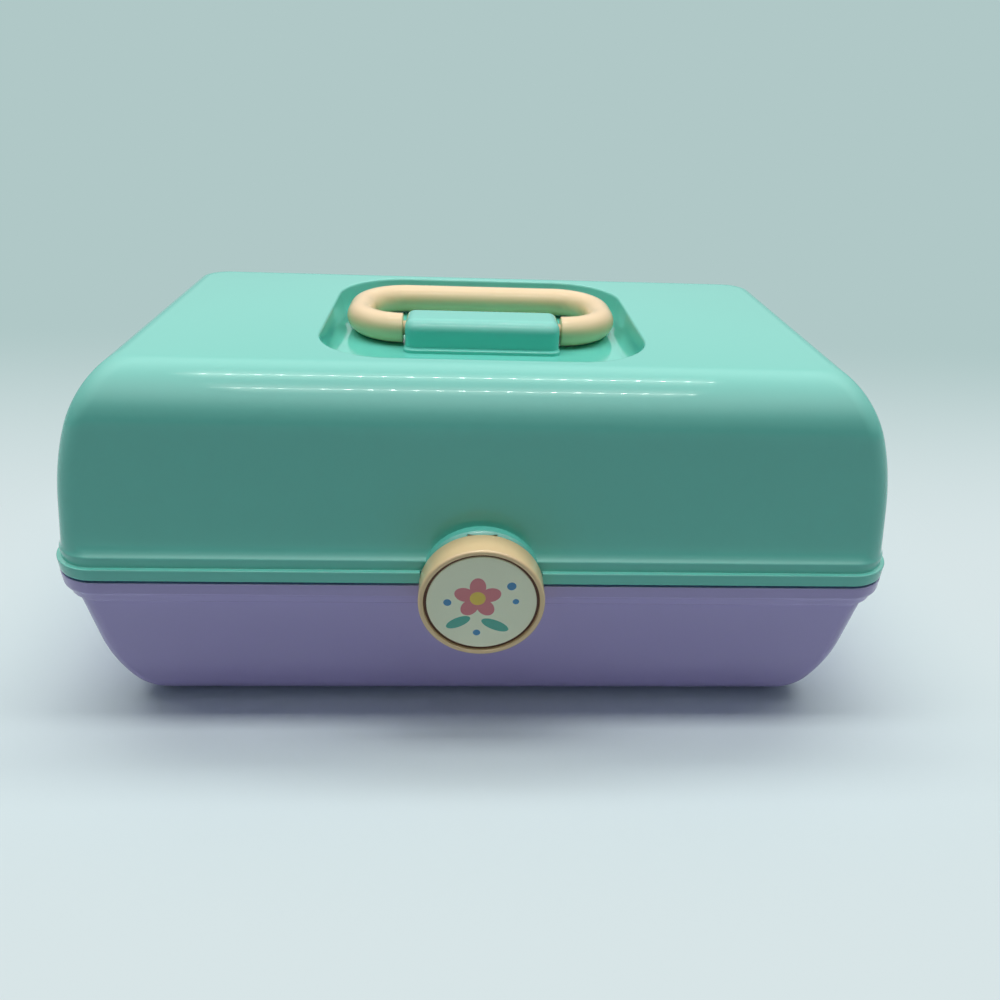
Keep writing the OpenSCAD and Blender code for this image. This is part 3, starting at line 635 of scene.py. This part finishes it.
steel = drawn_steel()
bm = bmesh.new()
for s in (-1, 1):
    rod(bm, s * hinge_x - 18 * mm, s * hinge_x + 18 * mm, hinge_y, hinge_z, 3 * mm, 0.35 * mm)
hinge_wires = piece("hinge_wires", bm)
dress(hinge_wires, "base", steel, "hinge_pins")


# ---- the latch -----------------------------------------------------------------------
# A round peach cap in glossy plastic hangs on a steel pin in the boss.  A cream printed
# disc sits in its front, ringed by painted shade: a thin dark brown ring in the groove
# stands for the shadow there.  A snap hook reaches under the keeper on the base's rim.

latch_front = -101 * mm
latch_r, disc_r = latch_d / 2, 20.4 * mm
lug_x, lug_w = 3.6 * mm, 3.4 * mm


def turned(bm, profile):
    """A solid of revolution about the latch's axis, from (y, radius) points."""
    skin(bm, [[Vector((r * math.cos(a), y, latch_z + r * math.sin(a))) for a in circle(128)]
              for y, r in profile])


seat_r, seat_y = disc_r + 0.95 * mm, latch_front + 2.7 * mm
cap_back, cap_floor, skirt = latch_front + 11.4 * mm, latch_front + 5.1 * mm, 2.6 * mm
bm = bmesh.new()
turned(bm, soften([
    (seat_y, 0.5 * mm), (seat_y, seat_r), (latch_front, seat_r + 0.25 * mm),
    (latch_front, latch_r - 0.05 * mm), (cap_back, latch_r), (cap_back, latch_r - skirt),
    (cap_floor, latch_r - skirt), (cap_floor, 0.5 * mm)],
    [m * mm for m in (0.3, 0.6, 1.9, 0.8, 0.5, 0.5)], 6))
latch_cap = piece("latch_cap", bm)
bm = bmesh.new()
for s in (-1, 1):
    x0 = s * lug_x - lug_w / 2
    eye = [(pivot_y + 1.8 * mm * math.cos(a), pivot_z + 1.8 * mm * math.sin(a))
           for a in (math.pi * k / 16 for k in range(17))]
    low = [(pivot_y + y * mm, pivot_z + z * mm) for y, z in (
        (-1.6, -2.2), (-2.8, -3.2), (-11, -3.2), (-11, -6.8), (-0.2, -6.8), (1.6, -5))]
    skin(bm, [[Vector((x, y, z)) for y, z in eye + low] for x in (x0, x0 + lug_w)])
lugs = piece("lugs", bm)
bm = bmesh.new()
rod(bm, -9 * mm, 9 * mm, pivot_y, pivot_z, 2.1 * mm)
combine(lugs, piece("bore", bm))
nose_z = rim_bottom - 3.9 * mm
nose = [(y * mm - half_d, nose_z + z * mm) for y, z in (
    (-8.7, -2.4), (-8.7, 0), (-1.6, 0), (-0.3, -0.6), (-0.3, -1.2), (-1.6, -2.4))]
bm = bmesh.new()
skin(bm, [[Vector((x, y, z)) for y, z in nose] for x in (-8 * mm, 8 * mm)])
combine(latch_cap, lugs, piece("hook", bm), how="UNION", crease=40)
peach = moulded("peach_abs", colour(231, 199, 153), 0.16, 0.7)
dress(latch_cap, "latch", peach, "latch_ring")

bm = bmesh.new()
rod(bm, -8 * mm, 8 * mm, pivot_y, pivot_z, 2 * mm, 0.25 * mm)
latch_wire = piece("latch_wire", bm)
dress(latch_wire, "lid", steel, "latch_pin")

# A dark brown ring in the groove round the disc is painted shade: it stands for the shadow
# deep in the gap between the cap and the disc.
shade_ring_front, shade_ring_back = latch_front + 1.35 * mm, seat_y - 0.02 * mm
bm = bmesh.new()
turned(bm, soften([(shade_ring_back, disc_r - 0.2 * mm), (shade_ring_front, disc_r - 0.1 * mm),
                   (shade_ring_front, seat_r + 0.1 * mm), (shade_ring_back, seat_r + 0.1 * mm)],
                  [0.1 * mm, 0.1 * mm], 6))
shade_ring = piece("painted_shade_ring", bm)
# Its dark brown colour, with a little random grain, is painted shade, not the colour of a
# part.
shade_ring_finish = Finish("painted_groove_shade")
grain = shade_ring_finish.noise(180.0, 3.0)
shade_ring_finish.set(Base_Color=shade_ring_finish.mix(grain, colour(60, 28, 6), colour(88, 46, 14)),
          Roughness=0.5 + grain * 0.15)
dress(shade_ring, "latch", shade_ring_finish.material)


def printed(cream):
    """Clear-coated cream plastic with a flower, two leaves and dots printed on it."""
    f = Finish("printed_cream")
    x, _, z = f.place.split()
    x, z = x / mm, (z - latch_z) / mm

    def blob(cx, cz, rx, rz, turn=0.0):
        """1 inside an ellipse with its centre and half sizes in millimetres."""
        dx, dz = x - cx, z - cz
        c, s = math.cos(turn), math.sin(turn)
        along, across = (dx * c + dz * s) * (1 / rx), (dz * c - dx * s) * (1 / rz)
        return (along * along + across * across).root().fade(1.02, 0.98)

    cx, cz = -1.5, 2.6
    petals = union(blob(cx + 5.0 * math.cos(a), cz + 5.0 * math.sin(a), 3.9, 3.0, a)
                   for a in (math.radians(90 + 72 * k) for k in range(5)))
    heart = blob(cx, cz, 2.9, 2.9)
    leaves = union((blob(-8.6, -8.4, 5.0, 2.1, 0.5), blob(5.2, -9.6, 5.6, 2.2, -0.45)))
    dots = union(blob(*at, r, r) for *at, r in ((10.8, 8.0, 1.7), (12.6, 1.2, 1.2),
                                                (-12.6, 0.6, 1.5), (-1.6, -13.2, 1.4)))
    ground = f.mix(f.noise(9.0, 3.0), shade(cream, 0.97), shade(cream, 1.02))
    ink = f.mix(petals, ground, colour(214, 116, 124))
    ink = f.mix(leaves, ink, colour(58, 168, 148))
    ink = f.mix(dots, ink, colour(34, 128, 182))
    ink = f.mix(heart, ink, colour(226, 192, 58))
    haze = f.noise(24.0, 4.0, 0.6).fade(0.45, 0.75)
    bump = f.node("ShaderNodeBump", None, Height=f.noise(30.0, 1.0), Strength=0.2,
                  Distance=0.1 * mm)
    f.set(Base_Color=ink, Roughness=0.14 + haze * 0.06, Normal=bump, Coat_Weight=0.3)
    return f.material


def disc_face(r):
    """The disc's front is a shallow dish."""
    dish_r, dish_depth = disc_r - 0.25 * mm, 0.5 * mm
    return (latch_front + 0.9 * mm - dish_depth * (1 - (r / dish_r) ** 2), r)


bm = bmesh.new()
turned(bm, [(seat_y, 0.5 * mm), (seat_y, disc_r)]
       + [(latch_front + y * mm, disc_r - r * mm) for y, r in (
           (1.2, 0), (1.02, 0.05), (0.92, 0.25))]
       + [disc_face(r * mm) for r in (20, 18, 15, 12, 9, 6, 3, 0.5)])
disc = piece("printed_disc", bm)
dress(disc, "latch", printed(colour(238, 240, 210)), "latch_disc")


# ---- the handle ----------------------------------------------------------------------
# The carry handle is one round peach bar bent into a long open loop.  It turns on two
# stub pins in a mint block that is screwed down in the recess, and lies folded back.

grip_d, grip_w, grip_reach = 12.2 * mm, 118 * mm, 46.4 * mm
grip_y, grip_z = -7 * mm, 142.4 * mm
block_w, block_d, block_h, block_y = 64 * mm, 21 * mm, 12.8 * mm, -8.5 * mm
grip_end = block_w / 2 + 1.2 * mm
grip_bend = 19.3 * mm


def grip_path():
    """The bar's centre line from its right end round the back to its left end."""
    bend_x = grip_w / 2 - grip_d / 2 - grip_bend
    right = [(grip_end, grip_y)]
    for start, bend_y in ((-90, grip_y + grip_bend), (0, grip_y + grip_reach - grip_bend)):
        for k in range(25):
            a = math.radians(start + 90 * k / 24)
            right.append((bend_x + grip_bend * math.cos(a), bend_y + grip_bend * math.sin(a)))
    return right + [(-x, y) for x, y in reversed(right)]


def swept(name, path, d, edge):
    """A round bar along a level path, with its end edges rounded."""
    points = [Vector((x, y, grip_z)) for x, y in path]
    loops, n = [], len(points)
    for i, p in enumerate(points):
        t = (points[min(i + 1, n - 1)] - points[max(i - 1, 0)]).normalized()
        across = Vector((-t.y, t.x, 0))
        stops = [(0, d / 2)]
        if i in (0, n - 1):
            stops = [(edge * (1 - math.cos(a)), d / 2 - edge * (1 - math.sin(a)))
                     for a in (math.pi / 2 * k / 5 for k in range(6))]
            if i:
                stops = [(-s, r) for s, r in reversed(stops)]
        for shift, r in stops:
            loops.append([p + t * shift + across * (r * math.cos(a))
                          + Vector((0, 0, r * math.sin(a))) for a in circle(48)])
    bm = bmesh.new()
    skin(bm, loops)
    return piece(name, bm)


grip = swept("carry_handle", grip_path(), grip_d, 0.7 * mm)
dress(grip, "handle", peach, "handle")

bm = bmesh.new()
for s in (-1, 1):
    rod(bm, s * (block_w / 2 - 7.9 * mm), s * (grip_end + 3 * mm), grip_y, grip_z, 6 * mm,
        0.3 * mm)
stubs = piece("handle_stubs", bm)
dress(stubs, "handle", peach, "handle_pins")


def block_section(inset):
    """The block's section in Y and Z, shrunk evenly by an inset except at its bottom."""
    half, top, top_round = block_d / 2 - inset, block_h - inset, 5 * mm
    points = [(-half, 0)]
    for s, start in ((-1, 180), (1, 90)):
        r = top_round - min(inset, top_round * 0.6)
        for k in range(15):
            a = math.radians(start - 90 * k / 14)
            points.append((s * (half - r) + r * math.cos(a), top - r + r * math.sin(a)))
    return points + [(half, 0)]


bm = bmesh.new()
end_round = 4 * mm
loops = []
for s in (-1, 1):
    for k in range(13):
        a = math.pi / 2 * (k / 12 if s < 0 else 1 - k / 12)
        x = s * (block_w / 2 - end_round * (1 - math.cos(a)))
        inset = 3.2 * mm * (1 - math.sin(a))
        loops.append([Vector((x, block_y + y, recess_floor + z))
                      for y, z in block_section(inset)])
skin(bm, loops)
handle_block = piece("handle_block_moulding", bm, 50)
foot_w, foot_d = block_w / 2 + 0.6 * mm, block_d / 2 + 2.4 * mm
foot_top = recess_floor + 1.6 * mm
bm = bmesh.new()
skin(bm, [[p + Vector((0, block_y, 0)) for p in ring(station)] for station in soften([
    (foot_w, foot_d, 4 * mm, recess_floor), (foot_w, foot_d, 4 * mm, foot_top),
    (foot_w - 2 * mm, foot_d - 2 * mm, 2 * mm, foot_top)], [0.9 * mm])])
foot = piece("foot", bm)
bm = bmesh.new()
for s in (-1, 1):
    rod(bm, s * (block_w / 2 - 9 * mm), s * (block_w / 2 + 1 * mm), grip_y, grip_z, 6.1 * mm)
combine(handle_block, foot, how="UNION", crease=40)
combine(handle_block, piece("bores", bm), crease=40)
dress(handle_block, "lid", mint, "handle_block")


# ---- the mirror ----------------------------------------------------------------------
# A glass mirror with a bevelled edge is glued into a mint frame, which four screws hold
# under the lid's roof.

frame_z, frame_t = 126.5 * mm, 5 * mm
frame_plan, inner_plan = (112 * mm, 55 * mm, 14 * mm), (100 * mm, 45 * mm, 9 * mm)
seat_plan, glass_plan = (98.2 * mm, 49.2 * mm, 10 * mm), (98 * mm, 49 * mm, 9.8 * mm)


def plate(bm, stations, reaches):
    """A flat round-cornered solid, from its outlines from the bottom up."""
    skin(bm, [ring(station, 14) for station in soften(stations, reaches)])


bm = bmesh.new()
plate(bm, [inner_plan + (frame_z,), frame_plan + (frame_z,),
           frame_plan + (frame_z + frame_t,), inner_plan + (frame_z + frame_t,)],
      [1 * mm, 1 * mm])
mirror_border = piece("mirror_border", bm)
bm = bmesh.new()
plate(bm, [(100.2 * mm, 51.2 * mm, 12 * mm, frame_z - 1 * mm),
           seat_plan + (frame_z + 0.6 * mm,), seat_plan + (frame_z + 2.3 * mm,)], [0.3 * mm])
seat = piece("seat", bm)
for x, y in frame_screws:
    bm = bmesh.new()
    for r, top in ((3.45 * mm, 2 * mm), (1.7 * mm, frame_t + 1 * mm)):
        upright(bm, x, y, frame_z - 1 * mm, frame_z + top, r)
    combine(mirror_border, piece("sunk", bm))
combine(mirror_border, seat)
dress(mirror_border, "lid", mint, "mirror_frame")

bm = bmesh.new()
plate(bm, [(96.6 * mm, 47.6 * mm, 8.4 * mm, frame_z + 0.2 * mm),
           glass_plan + (frame_z + 0.7 * mm,), glass_plan + (frame_z + 2.2 * mm,)],
      [0.05 * mm])
mirror = piece("bevelled_mirror", bm, 12)


def silvered():
    """Silvered glass with a few faint smears and dust."""
    f = Finish("silvered_glass")
    smears = f.noise(9.0, 4.0, 0.6, f.stretched((1, 2.6, 1), (0, 0, 0.5))).fade(0.5, 0.85)
    dust = f.noise(900.0, 1.0).fade(0.68, 0.74)
    f.set(Base_Color=f.mix(dust * 0.3, colour(232, 238, 238), colour(196, 200, 200)),
          Metallic=1.0, Roughness=0.015 + smears * 0.05 + dust * 0.1)
    return f.material


dress(mirror, "lid", silvered(), "mirror_glass")


# ---- the arms and links --------------------------------------------------------------
# Two flat arms at each end of the case carry both trays, and a link at each end joins the
# lid to the rear arms, so that the trays fan out as it opens.  All are white plastic.

arm_x, arm_t, link_x, play = 140.5 * mm, 2 * mm, 143.2 * mm, 0.3 * mm
arm_step, arm_slope = 45 * mm, math.radians(13)


def along_arm(pivot, distance):
    """The point of an arm at a distance from its pivot on the base."""
    y, z = pivot
    return (y - distance * math.cos(arm_slope), z + distance * math.sin(arm_slope))


lower_pivots = [along_arm(p, arm_step) for p in (front_pivot, rear_pivot)]
upper_pivots = [along_arm(p, 2 * arm_step) for p in (front_pivot, rear_pivot)]


def strap(name, s, x0, ends, pivots):
    """A flat bar with an eye at each end and a slightly narrower waist, drilled at pivots."""
    a, b = Vector(ends[0]), Vector(ends[1])
    along = (b - a).normalized()
    across = Vector((-along.y, along.x))

    def outline(inset):
        eye, waist = eye_d / 2 - inset, eye_d / 2 - 0.5 * mm - inset
        open_angle = math.pi - math.asin(waist / eye)
        for centre, turn in ((b, 0), (a, math.pi)):
            for k in range(29):
                t = turn + open_angle * (k / 14 - 1)
                yield centre + eye * (along * math.cos(t) + across * math.sin(t))

    bm = bmesh.new()
    skin(bm, [[Vector((s * x, p.x, p.y)) for p in outline(inset)]
              for x, inset in eased(x0, x0 + arm_t, 0.3 * mm)])
    bar = piece(name, bm)
    bm = bmesh.new()
    for y, z in pivots:
        rod(bm, s * (x0 - 1 * mm), s * (x0 + arm_t + 1 * mm), y, z, 4.1 * mm)
    return combine(bar, piece("holes", bm))


def tray_white():
    """Satin white plastic with a lavender cast, faint flow marks and a fine grain."""
    f = Finish("tray_white")
    flow = f.noise(9.0, 3.0)
    grain = f.noise(900.0, 2.0)
    haze = f.noise(30.0, 4.0, 0.6).fade(0.45, 0.75)
    bump = f.node("ShaderNodeBump", None, Height=f.noise(30.0, 1.5) + grain * 0.05,
                  Strength=0.4, Distance=0.1 * mm)
    f.set(Base_Color=f.mix(flow, colour(222, 218, 236), colour(232, 229, 243)),
          Roughness=0.3 + haze * 0.1, Normal=bump)
    return f.material


white = tray_white()
for s, hand in ((-1, "left"), (1, "right")):
    for row, pivot in (("front", front_pivot), ("rear", rear_pivot)):
        stops = [pivot, along_arm(pivot, arm_step), along_arm(pivot, 2 * arm_step)]
        bar = strap(f"{hand}_{row}_arm", s, arm_x, (stops[0], stops[2]), stops)
        dress(bar, f"{row}_arms", white, f"{row}_arm_{hand}")
    ends = (lower_pivots[1], link_pivot)
    link = strap(f"{hand}_link", s, link_x, ends, ends)
    dress(link, "drive_links", white, f"drive_link_{hand}")


# ---- the trays -----------------------------------------------------------------------
# Two white moulded trays with rolled rims lie stacked under the lid.  Round-cornered cells
# for make-up are sunk into them, and small pads at their ends meet the arms.

tray_w, tray_d, tray_mid, tray_wall = 277 * mm, 106 * mm, -23.79 * mm, 1.6 * mm


def shifted(bm, stations, x, y):
    """A round-cornered solid about an upright axis at x, y."""
    skin(bm, [[p + Vector((x, y, 0)) for p in ring(station, 10)] for station in stations])


def tray(name, body, node, z, h, pivots, cells):
    """A tray; a cell is its place in a row, the row's cells, and the row's front and back."""
    hw, hd, r, lean = tray_w / 2, tray_d / 2, 10 * mm, 0.03 * h
    bm = bmesh.new()
    shifted(bm, soften([
        (hw - lean - 8 * mm, hd - lean - 8 * mm, r - 4 * mm, z),
        (hw - lean - 0.8 * mm, hd - lean - 0.8 * mm, r, z),
        (hw - 0.6 * mm, hd - 0.6 * mm, r, z + h - 2.4 * mm), (hw, hd, r, z + h - 2 * mm),
        (hw, hd, r, z + h), (hw - 1.4 * mm, hd - 1.4 * mm, r - 1.4 * mm, z + h)],
        [2.4 * mm, 0.2 * mm, 0.2 * mm, 0.5 * mm]), 0, tray_mid)
    made = piece(name, bm)
    bm = bmesh.new()
    for s in (-1, 1):
        for y, pz in pivots:
            rod(bm, s * (hw - 6 * mm), s * (arm_x - play), y, pz, 7.6 * mm, 0.25 * mm)
    combine(made, piece("pads", bm), how="UNION")
    bm = bmesh.new()
    iw, depth = hw - tray_wall - lean - 0.8 * mm, hd - tray_wall - 0.8 * mm
    for place, count, front, back in cells:
        w = 2 * iw / count
        cw, cd = w / 2 - tray_wall / 2, depth * (back - front) - tray_wall / 2
        low, high, lip, r = z + tray_wall, z + h, 0.35 * mm, 5 * mm
        shifted(bm, soften([
            (cw - 7 * mm, cd - 7 * mm, 2 * mm, low),
            (cw - 1.2 * mm, cd - 1.2 * mm, 4 * mm, low), (cw, cd, r, high - 0.6 * mm),
            (cw + lip, cd + lip, r + lip, high), (cw + lip, cd + lip, r + lip, high + 1 * mm)],
            [2.6 * mm, 0.5 * mm, 0.05 * mm]),
            -iw + w * (place + 0.5), tray_mid + depth * (front + back - 1))
    combine(made, piece("cells", bm))
    dress(made, body, white, node)


tray("lower_tray_moulding", "lower_tray", "lower_tray", 42 * mm, 24 * mm, lower_pivots,
     [(i, 2, 0, 0.52) for i in range(2)] + [(i, 3, 0.52, 1) for i in range(3)])
tray("upper_tray_moulding", "upper_tray", "upper_tray", 66.8 * mm, 27 * mm, upper_pivots,
     [(i, 4, 0, 0.46) for i in range(4)] + [(i, 2, 0.46, 1) for i in range(2)])


# ---- the rivets and screws -----------------------------------------------------------
# Domed steel rivets carry the arms, links and trays; cross-slotted screws hold the mirror's
# frame and the handle's block from inside.

class Sizes(Finish):
    """A geometry tree with named inputs, put together as a finish is."""

    def __init__(self, name, **kinds):
        self.tree = bpy.data.node_groups.new(name, "GeometryNodeTree")
        for label, kind in kinds.items():
            self.tree.interface.new_socket(label.replace("_", " "), in_out="INPUT",
                                           socket_type="NodeSocket" + kind)
        self.tree.interface.new_socket("Solid", in_out="OUTPUT",
                                       socket_type="NodeSocketGeometry")
        outputs = self.tree.nodes.new("NodeGroupInput").outputs
        self.given = {out.name: Wire(self, out) for out in outputs if out.name}

    def join(self, *wires):
        made = self.tree.nodes.new("GeometryNodeJoinGeometry")
        for wire in wires:
            self.tree.links.new(wire.socket, made.inputs[0])
        return Wire(self, made.outputs[0])


def fastener_tree():
    """Sets a headed fastener at every point of a mesh, along the point's aim."""
    t = Sizes("fasteners", Places="Geometry", Head_Radius="Float", Head_Height="Float",
              Shank_Radius="Float", Slot_Width="Float", Metal="Material")
    radius, height = t.given["Head Radius"], t.given["Head Height"]
    slot = t.given["Slot Width"]
    outline = [(0, 0), (0, 0.95), (0.15, 1), (0.45, 0.95), (0.72, 0.8), (0.92, 0.52),
               (1, 0.2), (1, 0)]
    bands = []
    for (z0, r0), (z1, r1) in zip(outline, outline[1:]):
        band = t.node("GeometryNodeMeshCone", {"fill_type": "NONE"}, Vertices=28,
                      Radius_Bottom=radius * r0, Radius_Top=radius * r1,
                      Depth=height * (z1 - z0))
        up = t.node("ShaderNodeCombineXYZ", None, 0.0, 0.0, height * z0)
        bands.append(t.node("GeometryNodeTransform", None, band, up))
    head = t.node("GeometryNodeMergeByDistance", None, t.join(*bands), Distance=0.002 * mm)
    long, lift = radius * 1.2, t.node("ShaderNodeCombineXYZ", None, 0.0, 0.0, height)
    cut = head
    for w, d in ((long, slot), (slot, long)):
        bar = t.node("GeometryNodeMeshCube", None,
                     t.node("ShaderNodeCombineXYZ", None, w, d, height * 1.06))
        cut = t.node("GeometryNodeMeshBoolean", {"operation": "DIFFERENCE", "solver": "EXACT"},
                     cut, t.node("GeometryNodeTransform", None, bar, lift))
    head = t.node("GeometryNodeSwitch", {"input_type": "GEOMETRY"}, slot > 0.0, head, cut)
    shank = t.node("GeometryNodeTransform", None,
                   t.node("GeometryNodeMeshCylinder", None, Vertices=24,
                          Radius=t.given["Shank Radius"], Depth=1.0), (0, 0, -0.5))
    aim = t.node("GeometryNodeInputNamedAttribute", {"data_type": "FLOAT_VECTOR"}, "aim")
    reach = t.node("GeometryNodeInputNamedAttribute", {"data_type": "FLOAT"}, "reach")
    turned_to = t.node("FunctionNodeAlignRotationToVector", {"axis": "Z"}, Vector=aim)
    heads = t.node("GeometryNodeInstanceOnPoints", None, t.given["Places"], Instance=head,
                   Rotation=turned_to)
    shanks = t.node("GeometryNodeInstanceOnPoints", None, t.given["Places"], Instance=shank,
                    Rotation=turned_to, Scale=t.node("ShaderNodeCombineXYZ", None, 1.0, 1.0,
                                                     reach))
    solid = t.node("GeometryNodeRealizeInstances", None, t.join(heads, shanks))
    solid = t.node("GeometryNodeSetMaterial", None, solid, Material=t.given["Metal"])
    t.feed(t.tree.nodes.new("NodeGroupOutput").inputs[0], solid)
    return t.tree


fasteners = fastener_tree()


def fasten(name, body, node, places, size):
    """Places are seats, aims out through the head, and lengths of shank; a size is the
    head's radius and height, the shank's radius and the slot's width."""
    mesh = bpy.data.meshes.new(name)
    mesh.from_pydata([seat for seat, _, _ in places], [], [])
    mesh.attributes.new("aim", "FLOAT_VECTOR", "POINT").data.foreach_set(
        "vector", [v for _, aim, _ in places for v in aim])
    mesh.attributes.new("reach", "FLOAT", "POINT").data.foreach_set(
        "value", [reach for _, _, reach in places])
    points = bpy.data.objects.new(name, mesh)
    scene.collection.objects.link(points)
    tree = points.modifiers.new("fasteners", "NODES")
    tree.node_group = fasteners
    given = dict(zip(("Head Radius", "Head Height", "Shank Radius", "Slot Width"), size),
                 Metal=steel)
    for item in fasteners.interface.items_tree:
        if item.name in given:
            tree[item.identifier] = given[item.name]
    bm = bmesh.new()
    bm.from_mesh(applied(points))
    bpy.data.objects.remove(points)
    bpy.data.meshes.remove(mesh)
    dress(piece(name, bm, 40), body, steel, node)


def seats(x, aim, pivots, reach):
    """Seats at both ends of the case; aim is 1 outwards and -1 inwards."""
    return [((s * x, y, z), (s * aim, 0, 0), reach) for s in (-1, 1) for y, z in pivots]


high_rivet, low_rivet, screw = (tuple(m * mm for m in size) for size in (
    (3.4, 1, 2, 0), (3.4, 0.8, 2, 0), (3.15, 1.7, 1.5, 0.7)))
post_reach, tray_reach, screw_reach = 8.1 * mm, 6.3 * mm, 9 * mm
down = (0, 0, -1)
arm_face, link_face = arm_x + arm_t + play / 2, link_x + arm_t + play

fasten("arm_rivet_set", "base", "arm_rivets",
       seats(arm_x - play, -1, (front_pivot, rear_pivot), post_reach), high_rivet)
fasten("link_rivet_set", "lid", "link_rivets",
       seats(link_x - play, -1, (link_pivot,), post_reach), high_rivet)
fasten("lower_rivet_set", "lower_tray", "lower_tray_rivets",
       seats(arm_face, 1, lower_pivots[:1], tray_reach)
       + seats(link_face, 1, lower_pivots[1:], 9.2 * mm), low_rivet)
fasten("upper_rivet_set", "upper_tray", "upper_tray_rivets",
       seats(arm_face, 1, upper_pivots, tray_reach), low_rivet)
fasten("frame_screw_set", "lid", "mirror_frame_screws",
       [((x, y, frame_z + 2 * mm), down, screw_reach) for x, y in frame_screws], screw)
fasten("block_screw_set", "lid", "handle_block_screws",
       [((s * 12 * mm, block_y, recess_floor - wall), down, screw_reach) for s in (-1, 1)],
       screw)
